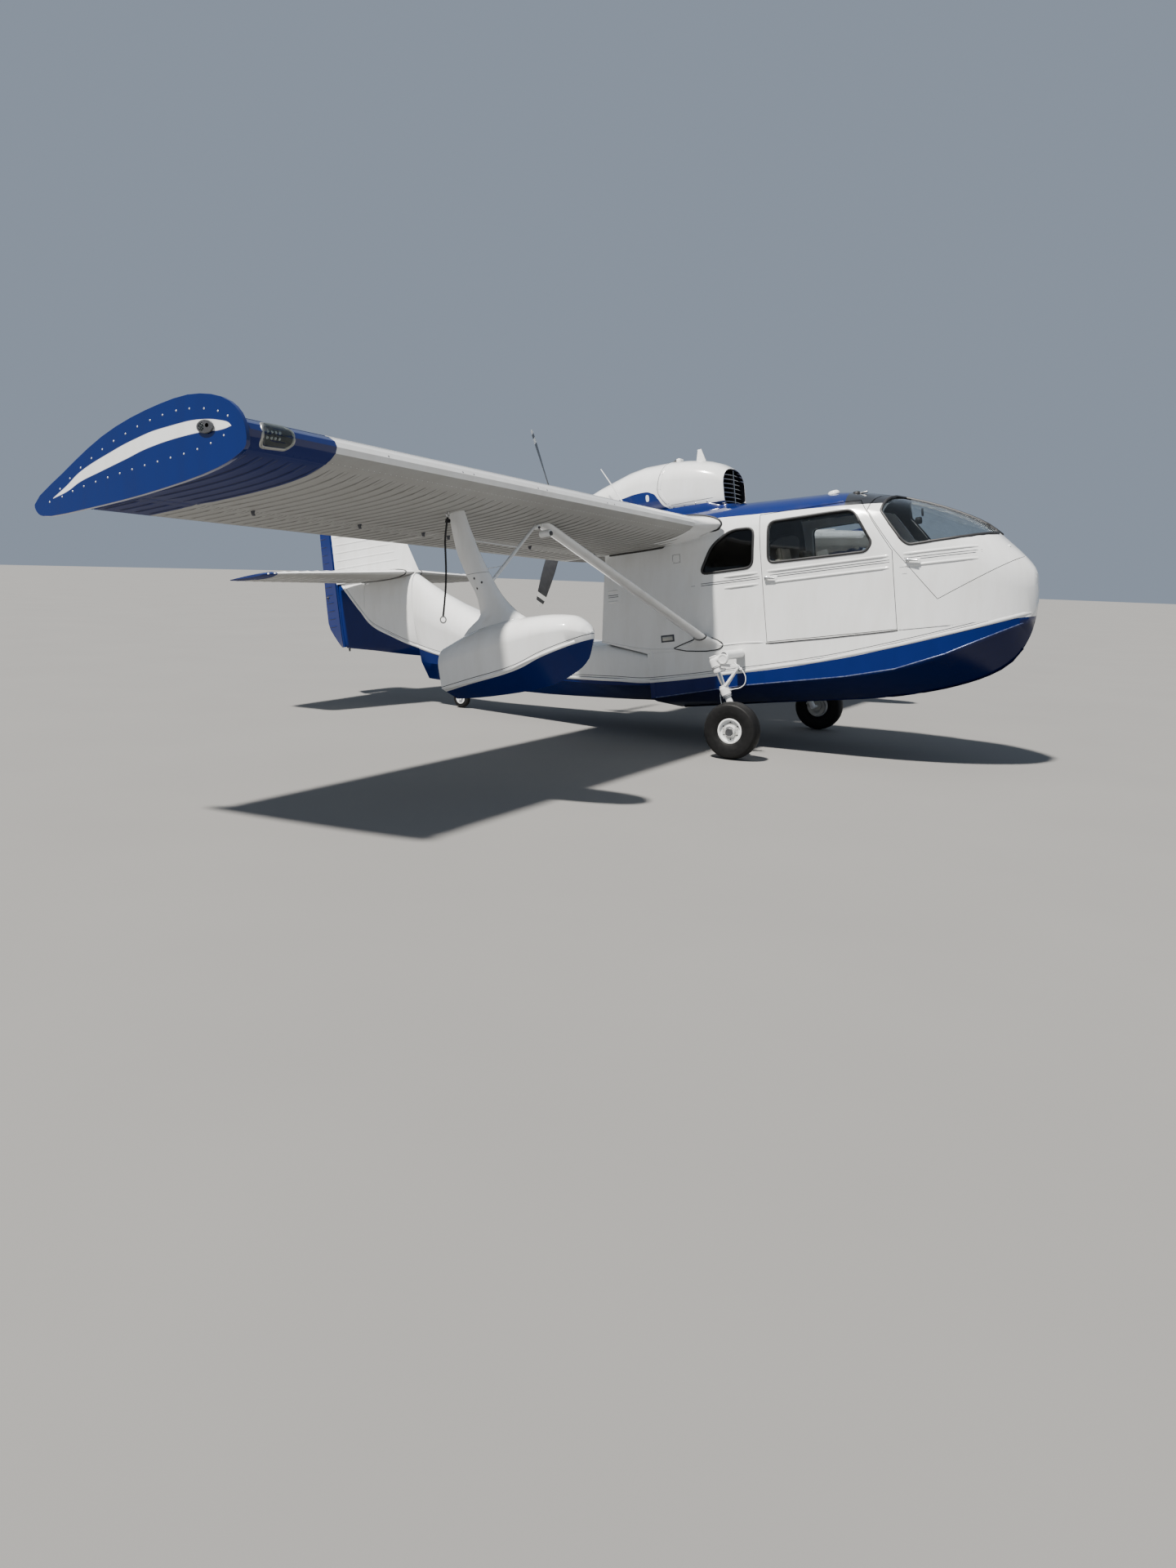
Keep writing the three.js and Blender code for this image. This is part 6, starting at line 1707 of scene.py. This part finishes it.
# Main gear: a white cross tube from the hull carries an oil spring on each side. A chrome piston
# shows between white housings, a two-part link stops it turning, and a pipe feeds the brake.
GEAR_Y = 1.05
LEG_TOP = Vector((-0.170, 0, 0.905))
LEG_LOW = Vector((-0.064, 0, 0.560))
LEG_AXIS = (LEG_LOW - LEG_TOP).normalized()
AXLE_CENTRE = Vector((0.04, 0, 0.264))
TUBE_END = {"x": -0.049, "z": 0.950, "y": 1.10, "radius": 0.046, "bore": 0.033}
LINK_KNEE = Vector((0.072, 0, 0.834))
chrome = mottled("chrome", (0.8, 0.81, 0.82), (0.55, 0.56, 0.57), (0.8, 0.8, 0.81), 0.08, (60, 3), 1.0,
                 (0.05, 0.16))


def leg_place(z, side):
    share = (z - LEG_TOP.z) / (LEG_LOW.z - LEG_TOP.z)
    return LEG_TOP.lerp(LEG_LOW, share) + Vector((0, side * GEAR_Y, 0))


LINK_SECTION = ((1, 1.7), (0.72, 1.7), (0.6, 1), (-0.6, 1), (-0.72, 1.7), (-1, 1.7), (-1, -1), (1, -1))


def link_plate(start, end, wide, narrow, thick):
    """A flat link arm, broad at the leg and narrow at the knee, with a raised rim on both edges."""
    lift = (end - start).cross(Vector((0, 1, 0))).normalized() * (thick / 2)
    rows = []
    for place, half in ((start, wide), (start.lerp(end, 0.5), (wide + narrow) * 0.42), (end, narrow)):
        rows.append([place + Vector((0, a * half, 0)) + lift * b for a, b in LINK_SECTION])
    return loft("link", rows, put=Matrix())


LEG_RINGS = ((((0.026, -0.002), (0.044, 0.0), (0.0445, 0.016), (0.041, 0.024), (0.028, 0.026)), 0.822),
             (((0.041, 0.002), (0.0425, -0.003), (0.036, -0.009), (0.012, -0.011)), 0.938),
             (((0.027, -0.012), (0.043, -0.006), (0.0455, 0.0), (0.0455, 0.014), (0.043, 0.02)), 0.672),
             (((0.041, -0.002), (0.0475, 0.002), (0.0475, 0.064), (0.041, 0.068)), 0.648),
             (((0.040, -0.002), (0.0445, 0.002), (0.0445, 0.07), (0.040, 0.074)), 0.925))
DARK_RINGS = ((((0.0435, 0), (0.0455, 0.001), (0.0455, 0.005), (0.0435, 0.006)), 0.572),
              (((0.0415, 0), (0.0435, 0.001), (0.0435, 0.004), (0.0415, 0.005)), 0.843))
HOSE = ((0.02, 1.02, 0.872), (0.062, 1.035, 0.842), (0.108, 1.05, 0.79), (0.13, 1.05, 0.735),
        (0.118, 1.05, 0.675), (0.072, 1.05, 0.64), (0.01, 1.055, 0.632), (-0.045, 1.055, 0.628))
PIPE = ((-0.112, 1.055, 0.625), (-0.131, 1.06, 0.60), (-0.129, 1.07, 0.56), (-0.119, 1.08, 0.50),
        (-0.085, 1.10, 0.42), (-0.05, 1.115, 0.36), (-0.02, 1.118, 0.325))
for node in ("gear_leg_R", "gear_leg_L", "gear_oleo_R", "gear_oleo_L"):
    skin(node, "white_paint", gloss_white, edge=0.001)
for side, hand in SIDES:
    across = Vector((0, side, 0))
    piston = turned(((0.0236, 0), (0.0236, 0.145)), 32, leg_place(0.812, side), LEG_AXIS)
    fit("oil_spring_piston_" + hand, [piston], chrome, "bright_steel")
    tube_end = Vector((TUBE_END["x"], side * TUBE_END["y"], TUBE_END["z"]))
    bore, rim = TUBE_END["bore"], TUBE_END["radius"]
    upper = Vector((-0.112, side * GEAR_Y, 0.866))
    lower = Vector((-0.066, side * GEAR_Y, 0.668))
    knee = LINK_KNEE + across * GEAR_Y
    collars = [turned(profile, 36, leg_place(z, side), LEG_AXIS) for profile, z in LEG_RINGS]
    collars += [turned(((rim, -0.03), (rim + 0.0025, -0.026), (rim + 0.0025, 0.0), (rim - 0.001, 0.004),
                        (bore + 0.002, 0.004), (bore, 0.0005)), 40, tube_end, across),
                link_plate(upper, knee, 0.042, 0.017, 0.016), link_plate(lower, knee, 0.040, 0.015, 0.014)]
    for place, half in ((upper, 0.046), (lower, 0.044), (knee, 0.024)):
        collars.append(turned(((0.015, -half), (0.0165, -half + 0.002), (0.0165, half - 0.002),
                               (0.015, half)), 24, place, (0, 1, 0)))
    fit("gear_fittings_" + hand, collars, gloss_white, "white_paint")
    darks = [turned(((bore - 0.0005, 0.0002), (bore - 0.002, 0.0012), (0.012, 0.0014), (0.010, 0.004)), 32,
                    tube_end, across),
             turned(((0.0095, -0.036), (0.0095, 0.034), (0.006, 0.037)), 6, knee, (0, 1, 0))]
    darks += [turned(profile, 36, leg_place(z, side), LEG_AXIS) for profile, z in DARK_RINGS]
    for place in (upper, lower):
        darks.append(turned(((0.007, -0.052), (0.007, 0.05), (0.005, 0.052)), 6, place, (0, 1, 0)))
    fit("gear_dark_fittings_" + hand, darks, dark_fitting, "dark_metal")
    for name, route, count, radius, material, slot in (
            ("brake_hose_", HOSE, 48, 0.0042, gloss_white, "white_paint"),
            ("brake_pipe_", PIPE, 40, 0.0035, bright_metal, "bright_steel")):
        line = smooth_route([level_point(x, side * y, z) for x, y, z in route], count)
        finish(tube(name + hand, line, radius, 10), material, slot)

# Brakes: a steel disc turns on the inner side of each wheel, and a cast caliper with two bolts is
# held on a torque plate round the axle.
WHEEL_Y = 1.259
DISC_INNER = 0.081
for side, hand in SIDES:
    inward = Vector((0, -side, 0))
    wheel_centre = AXLE_CENTRE + Vector((0, side * WHEEL_Y, 0))
    disc_at = wheel_centre + inward * DISC_INNER
    disc = turned(((0.045, -0.012), (0.045, -0.003), (0.095, -0.003), (0.0965, -0.0015), (0.0965, 0.0015),
                   (0.095, 0.003), (0.045, 0.003), (0.040, 0.0)), 48, disc_at, inward)
    fit("brake_disc_" + hand, [disc], bare_plate, "bright_steel", "wheel_" + hand)
    plate_at = wheel_centre + inward * 0.098
    plate = turned(((0.020, 0), (0.052, 0.0), (0.054, 0.002), (0.054, 0.007), (0.052, 0.009),
                    (0.020, 0.009)), 32, plate_at, inward)
    caliper_at = plate_at + inward * 0.016 + Vector((-0.062, 0, 0.05))
    caliper = turn_about(boxed((0.085, 0.034, 0.052), caliper_at, 0.009), caliper_at, -42)
    turn = Matrix.Translation(caliper_at) @ Matrix.Rotation(math.radians(-42), 4, "Y")
    bolts = [turned(((0.012, 0), (0.012, 0.006), (0.007, 0.009)), 6, turn @ Vector((x, -side * 0.016, 0)),
                    inward) for x in (-0.022, 0.022)]
    fit("brake_caliper_" + hand, [plate, caliper, *bolts], bare_plate, "bright_steel")

# Wheels: black ribbed tyres on white rims. The rim's dish between the flange and the hub is painted
# grey as shade in the recess, mottled with smudges of dirt; small dark discs on it are painted shade
# for holes, and a dark ring and a light nut close the hub.
TREAD_RIB = 0.021


def from_axle(tree, level):
    out_x = calc(tree, "POWER", minus(tree, level["X"], AXLE_CENTRE.x), 2)
    out_z = calc(tree, "POWER", minus(tree, level["Z"], AXLE_CENTRE.z), 2)
    return calc(tree, "SQRT", calc(tree, "ADD", out_x, out_z))


tyre_rubber, tree, shader = new_material("tyre_rubber", (0.02, 0.02, 0.021), 0.62)
place = object_place(tree)
patchy_tone = noise(tree, place, 26, 5, 0.65)
grain = noise(tree, place, 420, 2)
level = use_group(tree, level_group)
sideways = calc(tree, "ABSOLUTE", minus(tree, calc(tree, "ABSOLUTE", level["Y"]), WHEEL_Y))
ribs = calc(tree, "PINGPONG", sideways, TREAD_RIB / 2)
groove = between(tree, ribs, TREAD_RIB * 0.36, TREAD_RIB * 0.46)
radius = from_axle(tree, level)
tread = times(tree, groove, between(tree, radius, 0.195, 0.205))
side_lines_height = calc(tree, "MAXIMUM", near(tree, radius, 0.137, 0.0015),
                         near(tree, radius, 0.176, 0.001))
relief = calc(tree, "ADD", times(tree, tread, -1.0), times(tree, side_lines_height, 0.6))
relief = calc(tree, "ADD", relief, times(tree, grain, 0.12))
plug(tree, shader.inputs["Base Color"], blend_colour(tree, patchy_tone, (0.004, 0.004, 0.0045),
                                                     (0.014, 0.014, 0.014)))
shader.inputs["Specular IOR Level"].default_value = 0.2
plug(tree, shader.inputs["Roughness"], between(tree, patchy_tone, 0.3, 0.8, 0.45, 0.7))
add_bump(tree, shader, relief, 0.003, 0.9)

rim_paint, tree, shader = new_material("rim_paint", WHITE, 0.3, coat=0.3)
level = use_group(tree, level_group)
radius = from_axle(tree, level)
# Painted shade: the dish between flange and hub is greyed, mottled by smudges of dirt.
dish = times(tree, above(tree, radius, 0.045, 0.008), above(tree, times(tree, radius, -1), -0.082, 0.006))
smudge = noise(tree, object_place(tree), 38, 5, 0.7)
dish_shade_and_smudges = times(tree, dish, between(tree, smudge, 0.35, 0.7, 0.25, 1.0))
paint_over(tree, shader, blend_colour(tree, dish_shade_and_smudges, WHITE, (0.25, 0.25, 0.24)))
for side, hand in SIDES:
    body = "wheel_" + hand
    skin("main_tyre_" + hand, "tyre_black", tyre_rubber, body, edge=0.002)
    skin("main_rim_" + hand, "white_paint", rim_paint, body, edge=0.001)
    outward = Vector((0, side, 0))
    wheel_centre = AXLE_CENTRE + outward * WHEEL_Y
    rim_shape = level_shape("main_rim_" + hand)

    def on_rim(radius, first, count):
        spots = []
        for k in range(count):
            turn = math.radians(first + 360 / count * k)
            spots.append(wheel_centre + Vector((radius * math.cos(turn), side * 0.3, radius *
                                                math.sin(turn))))
        return drop_on(rim_shape, spots, -outward)

    hub_at = wheel_centre + outward * 0.0635
    hub = turned(((0.036, -0.01), (0.036, 0.0015), (0.032, 0.004), (0.019, 0.0022)), 36, hub_at, outward)
    # Dark discs on the dish stand for its holes: painted hole shade.
    dark_hub = join("hub_dark_parts_" + hand, [studs("hole_shade_discs", on_rim(0.079, 25, 6), 0.0085, 0.0012, 14),
                                               park(hub)])
    finish(dark_hub, dark_fitting, "dark_metal", body)
    nut = turned(((0.0135, -0.004), (0.0135, 0.0055), (0.010, 0.0075)), 6, hub_at, outward)
    cap = turned(((0.007, 0.004), (0.0065, 0.008), (0.004, 0.0088)), 20, hub_at, outward)
    fit("axle_nut_" + hand, [nut, cap], bare_plate, "bright_steel", body)
    finish(studs("rim_bolts_" + hand, on_rim(0.064, 85, 3), 0.0075, 0.006, 6), bare_plate, "bright_steel",
           body)

# Tail gear: a castoring fork of white plate and tube, and a small solid tyre on a white hub.
skin("tail_fork", "white_paint", gloss_white, "tail_castor", edge=0.001)
skin("tail_wheel", "tyre_black", tyre_rubber, "tail_wheel", edge=0.001)
low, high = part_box("tail_wheel")
tail_centre = Vector(((low.x + high.x) / 2, 0, (low.z + high.z) / 2))
half_width = (high.y - low.y) / 2
discs, nuts = [], []
for side in (-1, 1):
    outer = tail_centre + Vector((0, side * half_width, 0))
    discs.append(turned(((0.060, -0.002), (0.0605, 0.001), (0.055, 0.0025), (0.042, 0.0008),
                         (0.02, 0.0008)), 36, outer, (0, side, 0)))
    nuts.append(turned(((0.019, -0.001), (0.019, 0.0025), (0.012, 0.0035)), 6, outer, (0, side, 0)))
finish(join("tail_wheel_hub", discs), gloss_white, "white_paint", "tail_wheel")
finish(join("tail_wheel_nuts", nuts), dark_fitting, "dark_metal", "tail_wheel")
